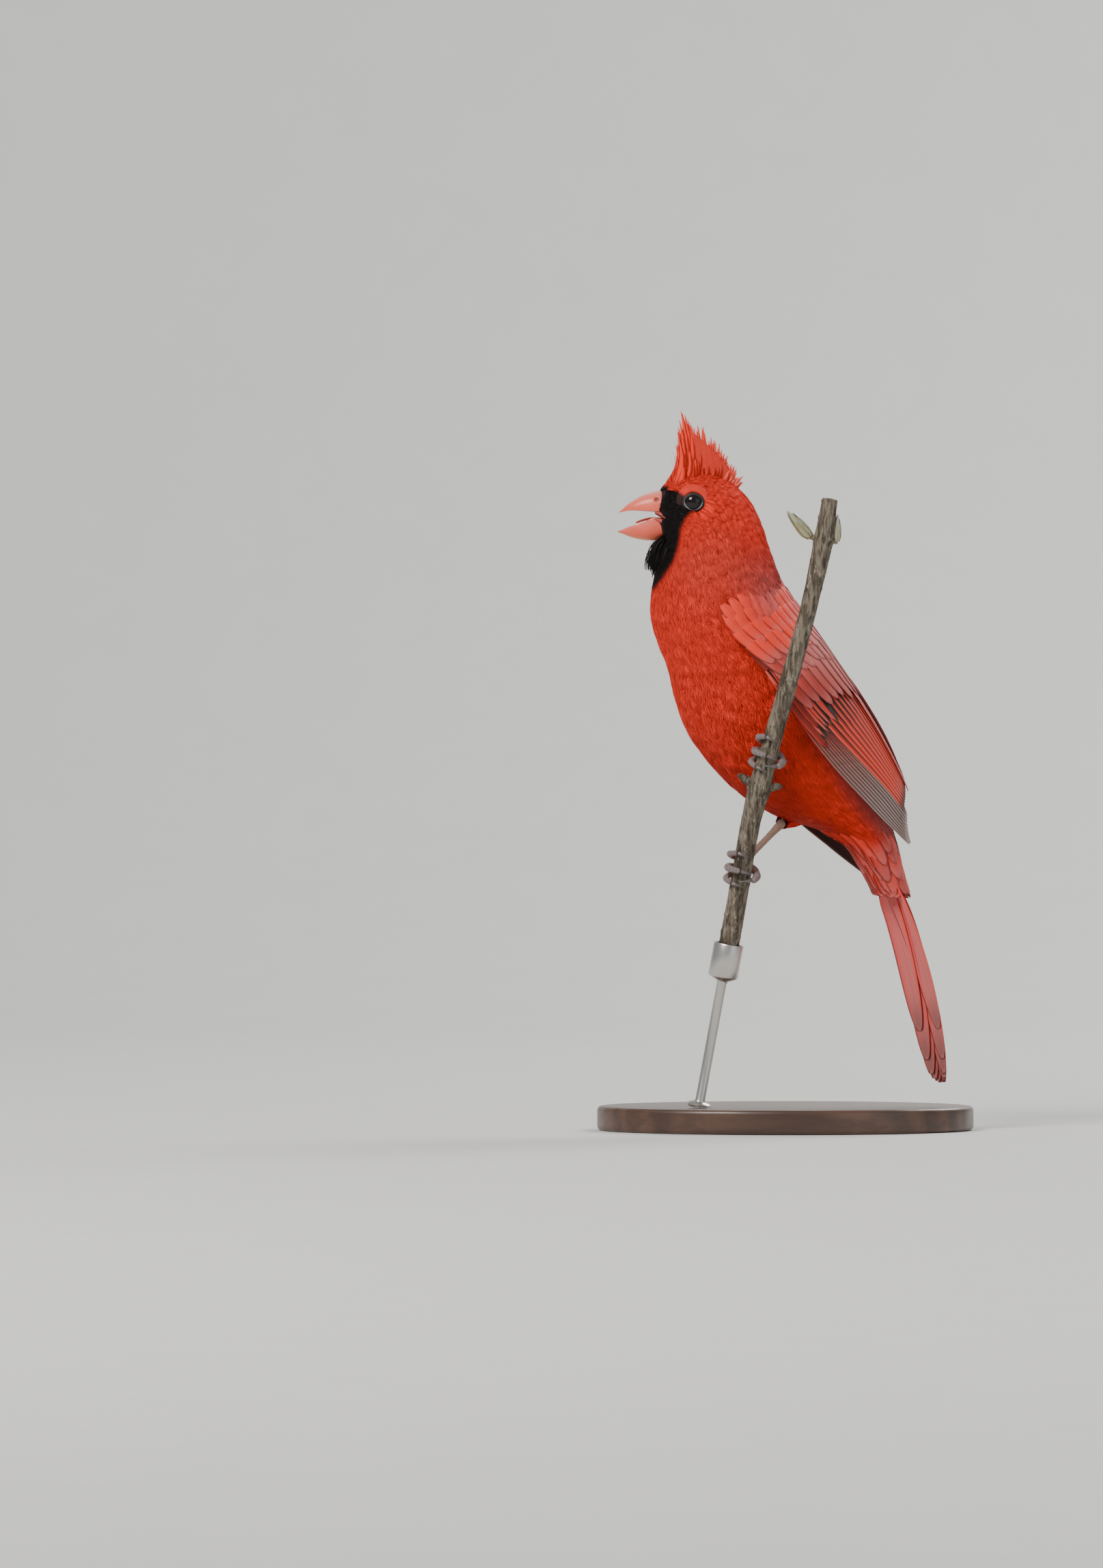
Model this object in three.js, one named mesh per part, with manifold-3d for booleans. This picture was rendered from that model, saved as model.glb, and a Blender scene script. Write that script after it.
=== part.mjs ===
// A male northern cardinal singing on an upright stem, life size, on a plain display stand.
// Millimetres, +Z up, the bird facing -X with its left side towards -Y.
// The origin is the centre of the underside of the stand's base.
import * as THREE from "three";
import { mergeVertices } from "three/addons/utils/BufferGeometryUtils.js";
import Module from "manifold-3d";

const wasm = await Module();
wasm.setup();

const GAP = 0.32;
const LEFT = 1;
const RIGHT = -1;
const DEG = Math.PI / 180;
const V = (x, y, z) => new THREE.Vector3(x, y, z);

// Body: each station has a point on the belly line and one on the back line, as x and z, then the
// half width across, how much wider it is below than above, and its roll in degrees towards -Y.
const BODY = [
  { belly: [-41.2, 195.2], back: [-42.4, 210.0], half: 6.0, pear: 0.05, roll: 0 },
  { belly: [-40.6, 193.6], back: [-38.2, 214.0], half: 8.4, pear: 0.1, roll: 0 },
  { belly: [-40.4, 192.2], back: [-30.6, 216.6], half: 10.2, pear: 0.12, roll: 0 },
  { belly: [-40.6, 190.7], back: [-20.6, 214.8], half: 11.9, pear: 0.12, roll: 1 },
  { belly: [-41.2, 188.8], back: [-12.8, 208.8], half: 13.4, pear: 0.08, roll: 3 },
  { belly: [-42.1, 186.2], back: [-8.2, 200.6], half: 14.9, pear: 0.04, roll: 6 },
  { belly: [-43.0, 182.6], back: [-5.2, 191.6], half: 16.4, pear: 0, roll: 9 },
  { belly: [-43.9, 177.4], back: [-2.0, 182.6], half: 18.2, pear: 0, roll: 12 },
  { belly: [-44.3, 169.6], back: [1.8, 173.4], half: 20.3, pear: 0, roll: 16 },
  { belly: [-42.0, 160.8], back: [5.8, 163.6], half: 21.6, pear: 0, roll: 19 },
  { belly: [-38.4, 151.6], back: [12.2, 153.0], half: 22.2, pear: 0, roll: 22 },
  { belly: [-36.2, 141.8], back: [17.8, 143.4], half: 22.4, pear: 0, roll: 24 },
  { belly: [-32.2, 131.2], back: [22.6, 133.6], half: 21.8, pear: 0, roll: 25 },
  { belly: [-25.4, 121.3], back: [27.2, 124.2], half: 20.2, pear: 0, roll: 26 },
  { belly: [-15.4, 111.2], back: [30.8, 114.4], half: 17.6, pear: 0, roll: 26 },
  { belly: [-3.0, 103.5], back: [33.6, 105.6], half: 14.2, pear: 0, roll: 27 },
  { belly: [9.0, 99.6], back: [35.6, 98.0], half: 11.2, pear: 0, roll: 27 },
  { belly: [18.4, 95.6], back: [37.0, 91.6], half: 8.8, pear: 0, roll: 27 },
  { belly: [24.6, 87.2], back: [38.4, 84.6], half: 7.2, pear: 0, roll: 27 },
  { belly: [30.2, 77.4], back: [40.4, 76.4], half: 5.6, pear: 0, roll: 27 },
];
const BODY_SIDES = 20;
const BODY_ROWS = 36;
const CUT_HEAD = 5.2;
const CUT_NECK = 8.3;
const CUT_RUMP = 16.2;

// Head
const EYE = { x: -30.4, z: 206.5, radius: 3.7, out: 8.1 };
const LID = { radius: 3.5, thick: 0.62 };
const MOUTH = { x: -42.6, z: 202.5, reach: 6.2, across: 8.6, open: 1.9, droop: 31 };

// Bill: stations from the base to the tip, with the ridge line, the cutting edge and the half width.
const BILL_UPPER = [
  { ridge: [-39.4, 210.6], edge: [-37.4, 202.4], half: 5.2 },
  { ridge: [-42.4, 210.5], edge: [-41.4, 203.7], half: 5.5 },
  { ridge: [-47.0, 209.2], edge: [-46.6, 204.1], half: 4.5 },
  { ridge: [-50.9, 207.0], edge: [-50.6, 204.2], half: 3.0 },
  { ridge: [-53.4, 204.9], edge: [-53.2, 203.8], half: 1.5 },
  { ridge: [-54.7, 203.55], edge: [-54.7, 203.35], half: 0.5 },
];
const BILL_LOWER = [
  { ridge: [-37.8, 194.9], edge: [-38.2, 199.6], half: 5.2 },
  { ridge: [-41.4, 194.4], edge: [-42.8, 201.5], half: 5.4 },
  { ridge: [-46.2, 194.3], edge: [-46.4, 200.2], half: 4.6 },
  { ridge: [-50.6, 195.2], edge: [-50.9, 198.8], half: 3.2 },
  { ridge: [-53.6, 196.4], edge: [-53.8, 197.7], half: 1.7 },
  { ridge: [-55.2, 197.0], edge: [-55.2, 197.25], half: 0.5 },
];
const BILL_ROWS = 10;
const NOSTRIL = { x: -42.3, z: 207.6, out: 4.4, radius: 0.75, long: 1.4 };
const TONGUE = { from: [-38.2, 200.5], to: [-49.4, 200.0], arch: 1.2, half: 1.9, thick: 0.75 };

// Crest: the crown line that the feathers stand on, and the sloping line that their tips reach.
const CREST = {
  rootFront: [-38.8, 211.7],
  rootBack: [-20.5, 210.2],
  tipFront: [-34.4, 238.1],
  tipBack: [-13.6, 213.2],
  sag: 4.6,
  bulge: 1.5,
  feathers: 7,
  layers: [-1, 0, 1],
  halfBase: 4.6,
  width: 5.8,
  thick: 0.6,
};
// Bib: ragged locks that stand out at the throat.
const BIB = {
  rows: 3, across: 4, first: 1.0, pitch: 1.25, down: 9.6, out: 6.0, fan: 0.14, width: 4.2, thick: 0.7,
  turn: 0.34,
};

// Wing frame: an axis down the back, rolled like the body. Sheet lines are stations down that axis.
const WING = {
  at: [-12.5, 0, 152.3],
  axis: [0.52, 0, -0.854],
  roll: 24,
  first: -12,
  step: 18,
  edgeUp: [-8.2, -6.9, -5.3, -2.2, 3.6, 9.1],
  edgeOut: [21.4, 24.6, 24.8, 23.2, 19.6, 16.2],
  ridgeUp: [23.0, 24.4, 25.6, 25.4, 22.6, 15.5],
  ridgeOut: [4.0, 3.0, 3.0, 3.8, 5.8, 11.0],
  length: 90,
  farDroop: 1.6,
  farShift: 3.0,
  farReach: 5.2,
};
// Feather groups: how many, where the roots and tips of the first and last lie (station, bend in
// degrees from the lower edge to the back), width, thickness, lift off the sheet and tilt.
const PRIMARIES = {
  count: 7, root: [[22, 12], [8, 1]], tip: [[69, 33], [77, 2]],
  width: 6.8, thick: 0.6, lift: 0.1, tilt: 0.26,
};
const SECONDARIES = {
  count: 6, root: [[20, 50], [20, 16]], tip: [[63, 60], [66, 36]],
  width: 6.8, thick: 0.6, lift: 0.4, tilt: 0.18,
};
const TERTIALS = {
  count: 3, root: [[10, 82], [16, 60]], tip: [[54, 78], [63, 64]],
  width: 10.4, thick: 0.65, lift: 0.8, tilt: 0.12,
};
const GREATER = {
  count: 6, root: [[4, 80], [2, 12]], tip: [[30, 78], [24, 14]],
  width: 8.4, thick: 0.65, lift: 1.1, tilt: 0.14,
};
const MEDIAN = {
  count: 5, root: [[-6, 76], [-6, 12]], tip: [[13, 74], [10, 16]],
  width: 8.8, thick: 0.65, lift: 1.35, tilt: 0.12,
};
const LESSER = {
  count: 4, root: [[-12, 72], [-12, 22]], tip: [[2, 70], [0, 24]],
  width: 8.8, thick: 0.65, lift: 1.5, tilt: 0.12,
};
const ALULA = {
  count: 2, root: [[2, 9], [6, 1]], tip: [[22, 10], [34, 3]],
  width: 5.0, thick: 0.6, lift: 0.9, tilt: 0.2,
};

// Tail: the line of its middle, rolled like the rump, with six pairs of feathers, the middle pair on top.
const TAIL = {
  line: [[31.8, 88.0], [35.8, 78.0], [39.9, 67.0], [44.2, 52.0], [48.2, 34.0], [51.0, 15.6]],
  roll: 27, pairs: 6, width: 11.4, spread: 6.6, thick: 0.55, pitch: 0.5,
  shorter: [0, 0.5, 1.2, 2.6, 6.5, 14.5],
};
const COVERTS = { count: 3, width: 7.6, thick: 0.65, above: 16.6, below: 17.2, turn: 0.66 };

// Stem: the points of its axis from the lower cut to the upper one, with its radius at each.
const STEM = [
  { at: [-20.6, -23.2, 53.0], radius: 3.5 },
  { at: [-16.4, -25.2, 76.0], radius: 3.35 },
  { at: [-11.9, -27.4, 102.0], radius: 3.3 },
  { at: [-9.2, -28.3, 112.6], radius: 3.75 },
  { at: [-5.9, -29.3, 125.0], radius: 3.15 },
  { at: [0.4, -31.0, 147.6], radius: 3.0 },
  { at: [7.6, -33.4, 175.0], radius: 2.85 },
  { at: [11.6, -34.8, 193.6], radius: 3.2 },
  { at: [13.6, -35.9, 207.0], radius: 2.6 },
];
const NODE_HEIGHTS = { lower: 112.6, upper: 193.6 };
const BUDS = {
  left: { side: 1, length: 10.8, radius: 1.9, lean: 57, out: 0.8 },
  right: { side: -1, length: 7.8, radius: 1.25, lean: -10, out: 0.9 },
};

// Feet: height of the grip, the side the ankle is on, and each toe as its start and end angle round
// the stem (0 faces -Y, 90 faces -X), its height above the grip at both ends and its radius.
const TOE_RADIUS = 1.15;
const TOE_SIDES = 6;
const TOE_SWELL = [1.15, 1, 1.12, 0.95, 1.1, 0.9, 0.95];
const LEG_RADII = [1.5, 1.15, 1.1, 1.2, 1.6];
const THIGH_RADII = [2.3, 4.6, 5.5];
const FEET = {
  left: { grip: 124.6, ankle: [1.0, -19.2, 120.4], knee: [6.0, -8.0, 122.0] },
  right: { grip: 87.0, ankle: [-0.8, -5.6, 101.6], knee: [4.0, 2.0, 106.0] },
};
const TOES = [
  { name: "hind", from: -165, to: -48, low: 0.6, high: -3.8, radius: 1.25 },
  { name: "inner", from: 178, to: 34, low: 1.8, high: 4.4, radius: 1.05 },
  { name: "middle", from: 172, to: 8, low: -0.6, high: -1.2, radius: 1.15 },
  { name: "outer", from: 176, to: 40, low: -2.6, high: -5.4, radius: 1.0 },
];
const CLAW = { sweep: 46, radius: 0.68, tip: 0.2, drop: -0.8 };

// Stand
const BASE = { length: 124, depth: 88, thick: 8, bevel: 1.6 };
const ROD = { radius: 1.6, cup: 4.9, cupHeight: 9, wall: 3.5, foot: 1.4 };

const finish = {
  red: [0xc8301f, 0.75, 0], wing: [0x9c4038, 0.75, 0], black: [0x171314, 0.8, 0],
  bill: [0xe8573a, 0.35, 0], eye: [0x120c0a, 0.08, 0], leg: [0x8f6f68, 0.6, 0], claw: [0x4a4046, 0.35, 0],
  bark: [0x8b7d68, 0.9, 0], bud: [0x9aa45a, 0.7, 0], wood: [0x4a3527, 0.5, 0], metal: [0xa8a39a, 0.3, 1],
};

// A smooth value between evenly spaced ones, at a whole or part step.
function between(values, step) {
  const last = values.length - 1;
  const at = Math.min(Math.max(step, 0), last);
  const i = Math.min(Math.floor(at), last - 1);
  const f = at - i;
  const p = [i - 1, i, i + 1, i + 2].map((k) => values[Math.min(Math.max(k, 0), last)]);
  const slope = [(p[2] - p[0]) / 2, (p[3] - p[1]) / 2];
  return (2 * f ** 3 - 3 * f ** 2 + 1) * p[1] + (f ** 3 - 2 * f ** 2 + f) * slope[0]
    + (3 * f ** 2 - 2 * f ** 3) * p[2] + (f ** 3 - f ** 2) * slope[1];
}
const mix = (a, b, f) => a + (b - a) * f;

// A closed form: the surface of a ball whose points are placed by their share round and along.
function formed(around, rows, place) {
  const ball = new THREE.SphereGeometry(1, around, rows);
  const where = ball.getAttribute("position");
  const share = ball.getAttribute("uv");
  for (let i = 0; i < where.count; i += 1) {
    const row = Math.round((1 - share.getY(i)) * rows);
    const turn = (Math.round(share.getX(i) * around * 2) / 2 / around) % 1;
    const pole = row === 0 || row === rows;
    const p = place(pole ? 0 : turn, row / rows);
    where.setXYZ(i, p.x, p.y, p.z);
  }
  return ball;
}

// A thin slab placed by its share across (-1 to 1), through (-1 or 1) and along (0 to 1). Both faces
// are split along the same diagonals, so that a curved slab keeps its thickness.
function slab(acrossParts, alongParts, place) {
  const points = [];
  const index = [];
  const at = (face, i, k) => ((face * (alongParts + 1)) + k) * (acrossParts + 1) + i;
  for (const y of [-1, 1]) {
    for (let k = 0; k <= alongParts; k += 1) {
      for (let i = 0; i <= acrossParts; i += 1) {
        points.push(...place((2 * i) / acrossParts - 1, y, k / alongParts).toArray());
      }
    }
  }
  const quad = (a, b, c, d) => index.push(a, b, c, a, c, d);
  for (let k = 0; k < alongParts; k += 1) {
    for (let i = 0; i < acrossParts; i += 1) {
      quad(at(0, i, k), at(0, i + 1, k), at(0, i + 1, k + 1), at(0, i, k + 1));
      index.push(at(1, i, k), at(1, i + 1, k + 1), at(1, i + 1, k));
      index.push(at(1, i, k), at(1, i, k + 1), at(1, i + 1, k + 1));
    }
    quad(at(1, 0, k), at(0, 0, k), at(0, 0, k + 1), at(1, 0, k + 1));
    quad(at(0, acrossParts, k), at(1, acrossParts, k), at(1, acrossParts, k + 1), at(0, acrossParts, k + 1));
  }
  for (let i = 0; i < acrossParts; i += 1) {
    quad(at(0, i, 0), at(1, i, 0), at(1, i + 1, 0), at(0, i + 1, 0));
    quad(at(1, i, alongParts), at(0, i, alongParts), at(0, i + 1, alongParts), at(1, i + 1, alongParts));
  }
  const geometry = new THREE.BufferGeometry();
  geometry.setAttribute("position", new THREE.Float32BufferAttribute(points, 3));
  geometry.setIndex(index);
  return geometry;
}

function solidOf(geometry, weld = 1e-4) {
  const bare = geometry.index ? geometry.toNonIndexed() : geometry.clone();
  bare.deleteAttribute("normal");
  bare.deleteAttribute("uv");
  const merged = mergeVertices(bare, weld);
  const build = (flip) => {
    const triVerts = [];
    const index = merged.index.array;
    for (let i = 0; i < index.length; i += 3) {
      const [a, b, c] = [index[i], index[i + 1], index[i + 2]];
      if (a !== b && b !== c && a !== c) triVerts.push(a, flip ? c : b, flip ? b : c);
    }
    return new wasm.Manifold(new wasm.Mesh({
      numProp: 3,
      vertProperties: merged.attributes.position.array,
      triVerts: new Uint32Array(triVerts),
    }));
  };
  const made = build(false);
  return made.volume() < 0 ? build(true) : made;
}
const joined = (solids) => solids.reduce((all, one) => all.add(one));
const largest = (solid) =>
  solid.decompose().reduce((best, one) => (one.volume() > best.volume() ? one : best));

function geometryOf(solid) {
  const mesh = solid.getMesh();
  const geometry = new THREE.BufferGeometry();
  geometry.setAttribute("position", new THREE.BufferAttribute(new Float32Array(mesh.vertProperties), 3));
  geometry.setIndex(new THREE.BufferAttribute(new Uint32Array(mesh.triVerts), 1));
  return geometry;
}

function nodeOf(name, solid, look) {
  // Corners closer than two microns are welded first, and only the largest closed surface is kept.
  const geometry = geometryOf(largest(solidOf(geometryOf(largest(solid)), 2e-3)));
  geometry.computeVertexNormals();
  const [color, roughness, metalness] = finish[look];
  const node = new THREE.Mesh(geometry, new THREE.MeshStandardMaterial({ color, roughness, metalness }));
  node.name = name;
  return node;
}

// Body surface

function bodySection(step) {
  const at = (pick) => between(BODY.map(pick), step);
  const belly = V(at((s) => s.belly[0]), 0, at((s) => s.belly[1]));
  const back = V(at((s) => s.back[0]), 0, at((s) => s.back[1]));
  const seen = back.clone().sub(belly).multiplyScalar(0.5);
  const depth = seen.length();
  const up = seen.clone().normalize();
  const half = at((s) => s.half);
  const roll = at((s) => s.roll) * DEG;
  const [c, s] = [Math.cos(roll), Math.sin(roll)];
  // The depth across the rolled ellipse that still reaches the two lines seen from the side.
  const tall = Math.sqrt(Math.max(depth ** 2 - (half * s) ** 2, 1)) / c;
  return {
    centre: back.clone().add(belly).multiplyScalar(0.5),
    up: up.clone().multiplyScalar(c).add(V(0, s, 0)),
    side: up.clone().multiplyScalar(s).add(V(0, -c, 0)),
    tall, half, pear: at((s2) => s2.pear),
  };
}
function bodyPoint(step, angle, grow = 0) {
  const s = bodySection(step);
  const across = (s.half + grow) * (1 - s.pear * Math.cos(angle)) * Math.sin(angle);
  return s.centre.clone()
    .addScaledVector(s.up, (s.tall + grow) * Math.cos(angle))
    .addScaledVector(s.side, across);
}
function bodyForm(grow = 0, sides = BODY_SIDES, rows = BODY_ROWS) {
  const last = BODY.length - 1;
  return solidOf(formed(sides, rows, (turn, share) => {
    if (share === 0 || share === 1) {
      return bodySection(last * share).centre;
    }
    // The first and last rows close the form as flat ends.
    const step = last * Math.min(Math.max((share * rows - 1) / (rows - 2), 0), 1);
    return bodyPoint(step, turn * 2 * Math.PI, grow);
  }));
}
function cutPlate(step, thick = GAP) {
  const s = bodySection(step);
  const normal = new THREE.Vector3().crossVectors(s.up, s.side).normalize();
  const plate = new THREE.BoxGeometry(120, 120, thick);
  plate.applyMatrix4(new THREE.Matrix4().makeBasis(s.up, s.side, normal).setPosition(s.centre));
  return solidOf(plate);
}

// Tubes and vanes

function tube(points, radii, around, rows) {
  const curve = new THREE.CatmullRomCurve3(points, false, "centripetal");
  const hint = V(0.31, 0.2, 0.93);
  return formed(around, rows + 2, (turn, share) => {
    const row = Math.round(share * (rows + 2));
    const f = Math.min(Math.max((row - 1) / rows, 0), 1);
    const centre = curve.getPoint(f);
    if (row === 0 || row === rows + 2) return centre;
    const along = curve.getTangent(f);
    const side = new THREE.Vector3().crossVectors(along, hint).normalize();
    const up = new THREE.Vector3().crossVectors(side, along);
    const r = between(radii, f * (radii.length - 1));
    const a = turn * 2 * Math.PI;
    return centre.addScaledVector(side, r * Math.cos(a)).addScaledVector(up, r * Math.sin(a));
  });
}

// Half width of a vane by its length share: narrow quill, full blade, rounded tip.
function bladeShape(f) {
  if (f < 0.3) return mix(0.55, 1, f / 0.3);
  return Math.sqrt(Math.max(1 - ((f - 0.3) / 0.72) ** 4, 0.03));
}
const tailShape = (f) => bladeShape(f) * mix(0.72, 1, Math.min(Math.max(f, 0) / 0.36, 1));
const lockShape = (f) => Math.max(1 - f ** 1.6, 0.08) * Math.min(0.6 + f * 2, 1);

// A vane along a path function that gives its middle, side and normal.
function vane(path, width, thick, { parts = 4, across = 2, tilt = 0, shape = bladeShape } = {}) {
  return solidOf(slab(across, parts, (x, y, z) => {
    const spread = 1 - (1 - z) ** 1.25;
    const { middle, side, normal } = path(spread);
    const half = (width / 2) * shape(spread);
    const ridge = across > 1 && x === 0 && y > 0 ? 1.6 : 1;
    return middle.addScaledVector(side, x * half)
      .addScaledVector(normal, (y * thick * ridge) / 2 + x * half * tilt);
  }));
}

// Wings

const wingAxis = V(...WING.axis).normalize();
const wingUp = V(-wingAxis.z, 0, wingAxis.x);
const wingRoll = WING.roll * DEG;
const wingBack = wingUp.clone().multiplyScalar(Math.cos(wingRoll)).add(V(0, Math.sin(wingRoll), 0));
const wingOut = wingUp.clone().multiplyScalar(Math.sin(wingRoll)).add(V(0, -Math.cos(wingRoll), 0));

function sheetPoint(station, bend, side) {
  const step = (station - WING.first) / WING.step;
  const beyond = Math.min(step, 0) * WING.step;
  const [eu, eo, ru, ro] = [WING.edgeUp, WING.edgeOut, WING.ridgeUp, WING.ridgeOut]
    .map((line) => between(line, step));
  const a = bend * DEG;
  const far = side === RIGHT ? Math.max(station / WING.length, 0) : 0;
  const shift = side === RIGHT ? WING.farShift + WING.farReach * far : 0;
  return V(...WING.at)
    .addScaledVector(wingAxis, Math.max(station, WING.first) + beyond + shift)
    .addScaledVector(wingBack, mix(eu, ru, Math.sin(a)) - WING.farDroop * far)
    .addScaledVector(wingOut, side * mix(ro, eo, Math.cos(a)));
}
function sheetFrame(station, bend, side) {
  const here = sheetPoint(station, bend, side);
  const down = sheetPoint(station + 0.5, bend, side).sub(here);
  const over = sheetPoint(station, bend + 1, side).sub(here);
  const normal = new THREE.Vector3().crossVectors(down, over).normalize().multiplyScalar(side);
  return { here, normal };
}
function wingVane(group, i, side) {
  const f = group.count > 1 ? i / (group.count - 1) : 0;
  const root = [0, 1].map((k) => mix(group.root[0][k], group.root[1][k], f));
  const tip = [0, 1].map((k) => mix(group.tip[0][k], group.tip[1][k], f));
  const path = (share) => {
    const place = (g) => [mix(root[0], tip[0], g), mix(root[1], tip[1], Math.max(g, 0) ** 1.3)];
    const { here, normal } = sheetFrame(...place(share), side);
    const ahead = sheetPoint(...place(share + 0.02), side).sub(sheetPoint(...place(share - 0.02), side));
    const across = new THREE.Vector3().crossVectors(ahead, normal).normalize().multiplyScalar(side);
    const lift = group.lift * Math.min(share * 4, 1);
    return { middle: here.addScaledVector(normal, lift), side: across, normal };
  };
  const long = tip[0] - root[0] > 30;
  return vane(path, group.width, group.thick, {
    parts: long ? 3 : 2, across: 1, tilt: group.tilt,
  });
}
const wingGroup = (group, side) =>
  Array.from({ length: group.count }, (_, i) => wingVane(group, i, side));

// The arm under the feathers: a thin closed sheet between two stations.
function wingCore(from, to, low, high, thick, side) {
  return solidOf(slab(4, 3, (x, y, z) => {
    const { here, normal } = sheetFrame(mix(from, to, z), mix(low, high, (x + 1) / 2), side);
    return here.addScaledVector(normal, (y * thick) / 2);
  }));
}

const WING_GROUPS = [PRIMARIES, SECONDARIES, TERTIALS, GREATER, MEDIAN, LESSER, ALULA];
const wingForm = (side) => joined([
  wingCore(-12, 34, 0, 86, 1.4, side),
  ...WING_GROUPS.flatMap((group) => wingGroup(group, side)),
]);

// Bill

function billForm(stations, upper, grow = 0) {
  const last = stations.length - 1;
  return solidOf(formed(12, BILL_ROWS, (turn, share) => {
    const step = last * Math.min(Math.max((share * BILL_ROWS - 1) / (BILL_ROWS - 2), 0), 1);
    const at = (pick) => between(stations.map(pick), step);
    const ridge = V(at((s) => s.ridge[0]), 0, at((s) => s.ridge[1]));
    const edge = V(at((s) => s.edge[0]), 0, at((s) => s.edge[1]));
    const centre = ridge.clone().add(edge).multiplyScalar(0.5);
    const back = share * BILL_ROWS <= 1 ? grow * 1.4 : 0;
    if (share === 0 || share === 1) return centre.add(V(back, 0, 0));
    const a = turn * 2 * Math.PI;
    const half = at((s) => s.half);
    const tall = ridge.clone().sub(edge);
    const round = Math.cos(a);
    // Domed towards the ridge, and nearly flat and slightly hollow towards the cutting edge.
    const height = round > 0 ? 0.02 + 0.98 * round ** 0.8 : -0.02 + 0.14 * (1 - Math.abs(Math.sin(a)));
    const wide = half * Math.sign(Math.sin(a)) * Math.abs(Math.sin(a)) ** 0.85;
    const p = edge.clone().addScaledVector(tall, height).add(V(0, upper ? -wide : wide, 0));
    return p.addScaledVector(p.clone().sub(centre).normalize(), grow * 1.8).add(V(back, 0, 0));
  }));
}

function nostril(side) {
  const pit = new THREE.SphereGeometry(NOSTRIL.radius, 8, 6).scale(NOSTRIL.long, 1, 1);
  return solidOf(pit.translate(NOSTRIL.x, -side * NOSTRIL.out, NOSTRIL.z));
}

// Crest

const lineAt = (from, to, f) => V(mix(from[0], to[0], f), 0, mix(from[1], to[1], f));

function crestVanes() {
  const vanes = [];
  for (const layer of CREST.layers) {
    for (let i = 0; i < CREST.feathers; i += 1) {
      const f = (i + (layer === 0 ? 0 : 0.5)) / CREST.feathers;
      const ragged = 1 - 0.03 * ((i * 7 + (layer + 1) * 3) % 3);
      const root = lineAt(CREST.rootFront, CREST.rootBack, f);
      const tip = lineAt(CREST.tipFront, CREST.tipBack, f);
      tip.add(V(1, 0, 0.8).multiplyScalar(CREST.bulge * Math.sin(Math.PI * f)));
      tip.sub(root).multiplyScalar(layer === 0 ? 1 : ragged).add(root);
      const bow = CREST.sag * (1 - f);
      const offset = CREST.halfBase * (0.35 + 0.65 * Math.sin(Math.PI * Math.min(f + 0.3, 1)));
      const path = (share) => {
        const middle = root.clone().lerp(tip, share)
          .add(V(bow * Math.sin(Math.PI * share) * 0.8, 0, -bow * Math.sin(Math.PI * share) * 0.45));
        const lean = layer * offset * (1 - share) ** 1.1 + layer * 0.25;
        middle.add(V(0, -lean, 0));
        const along = tip.clone().sub(root).normalize();
        const normal = V(0, -1, 0);
        return { middle, side: new THREE.Vector3().crossVectors(along, normal).normalize(), normal };
      };
      vanes.push(vane(path, CREST.width, CREST.thick, { parts: 3, across: 1, shape: lockShape }));
    }
  }
  return vanes;
}
function crestCore() {
  return solidOf(slab(4, 3, (x, y, z) => {
    const f = (x + 1) / 2;
    const share = z * 0.5;
    const root = lineAt(CREST.rootFront, CREST.rootBack, mix(0.08, 1, f));
    const tip = lineAt(CREST.tipFront, CREST.tipBack, mix(0.08, 1, f));
    const bow = CREST.sag * (1 - f) * Math.sin(Math.PI * share);
    return root.lerp(tip, share).add(V(bow * 0.8, y * mix(CREST.halfBase, 0.6, z), -bow * 0.45));
  }));
}

// Head and bib

function eyeCentre(side) {
  return V(EYE.x, -side * EYE.out, EYE.z);
}
function eyeBall(side, grow = 0) {
  const c = eyeCentre(side);
  const ball = new THREE.SphereGeometry(EYE.radius + grow, 12, 8).rotateX(90 * DEG);
  return solidOf(ball.translate(c.x, c.y, c.z));
}
function lidRing(side) {
  const c = eyeCentre(side);
  const ring = new THREE.TorusGeometry(LID.radius, LID.thick, 5, 12).rotateX(90 * DEG);
  return solidOf(ring.translate(c.x, c.y - side * 1.5, c.z));
}
function mouthHollow() {
  const hollow = new THREE.SphereGeometry(1, 14, 10).scale(MOUTH.reach, MOUTH.across, MOUTH.open);
  hollow.rotateY(MOUTH.droop * DEG).translate(MOUTH.x, 0, MOUTH.z);
  return solidOf(hollow);
}
function tongueForm() {
  const [from, to] = [V(TONGUE.from[0], 0, TONGUE.from[1]), V(TONGUE.to[0], 0, TONGUE.to[1])];
  return solidOf(slab(4, 5, (x, y, z) => {
    const half = TONGUE.half * Math.sqrt(1 - 0.86 * z ** 3);
    const raise = TONGUE.arch * Math.sin(Math.PI * z) + (y * TONGUE.thick) / 2 + 0.3 * x * x;
    return from.clone().lerp(to, z).add(V(0, x * half, raise));
  }));
}
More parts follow.
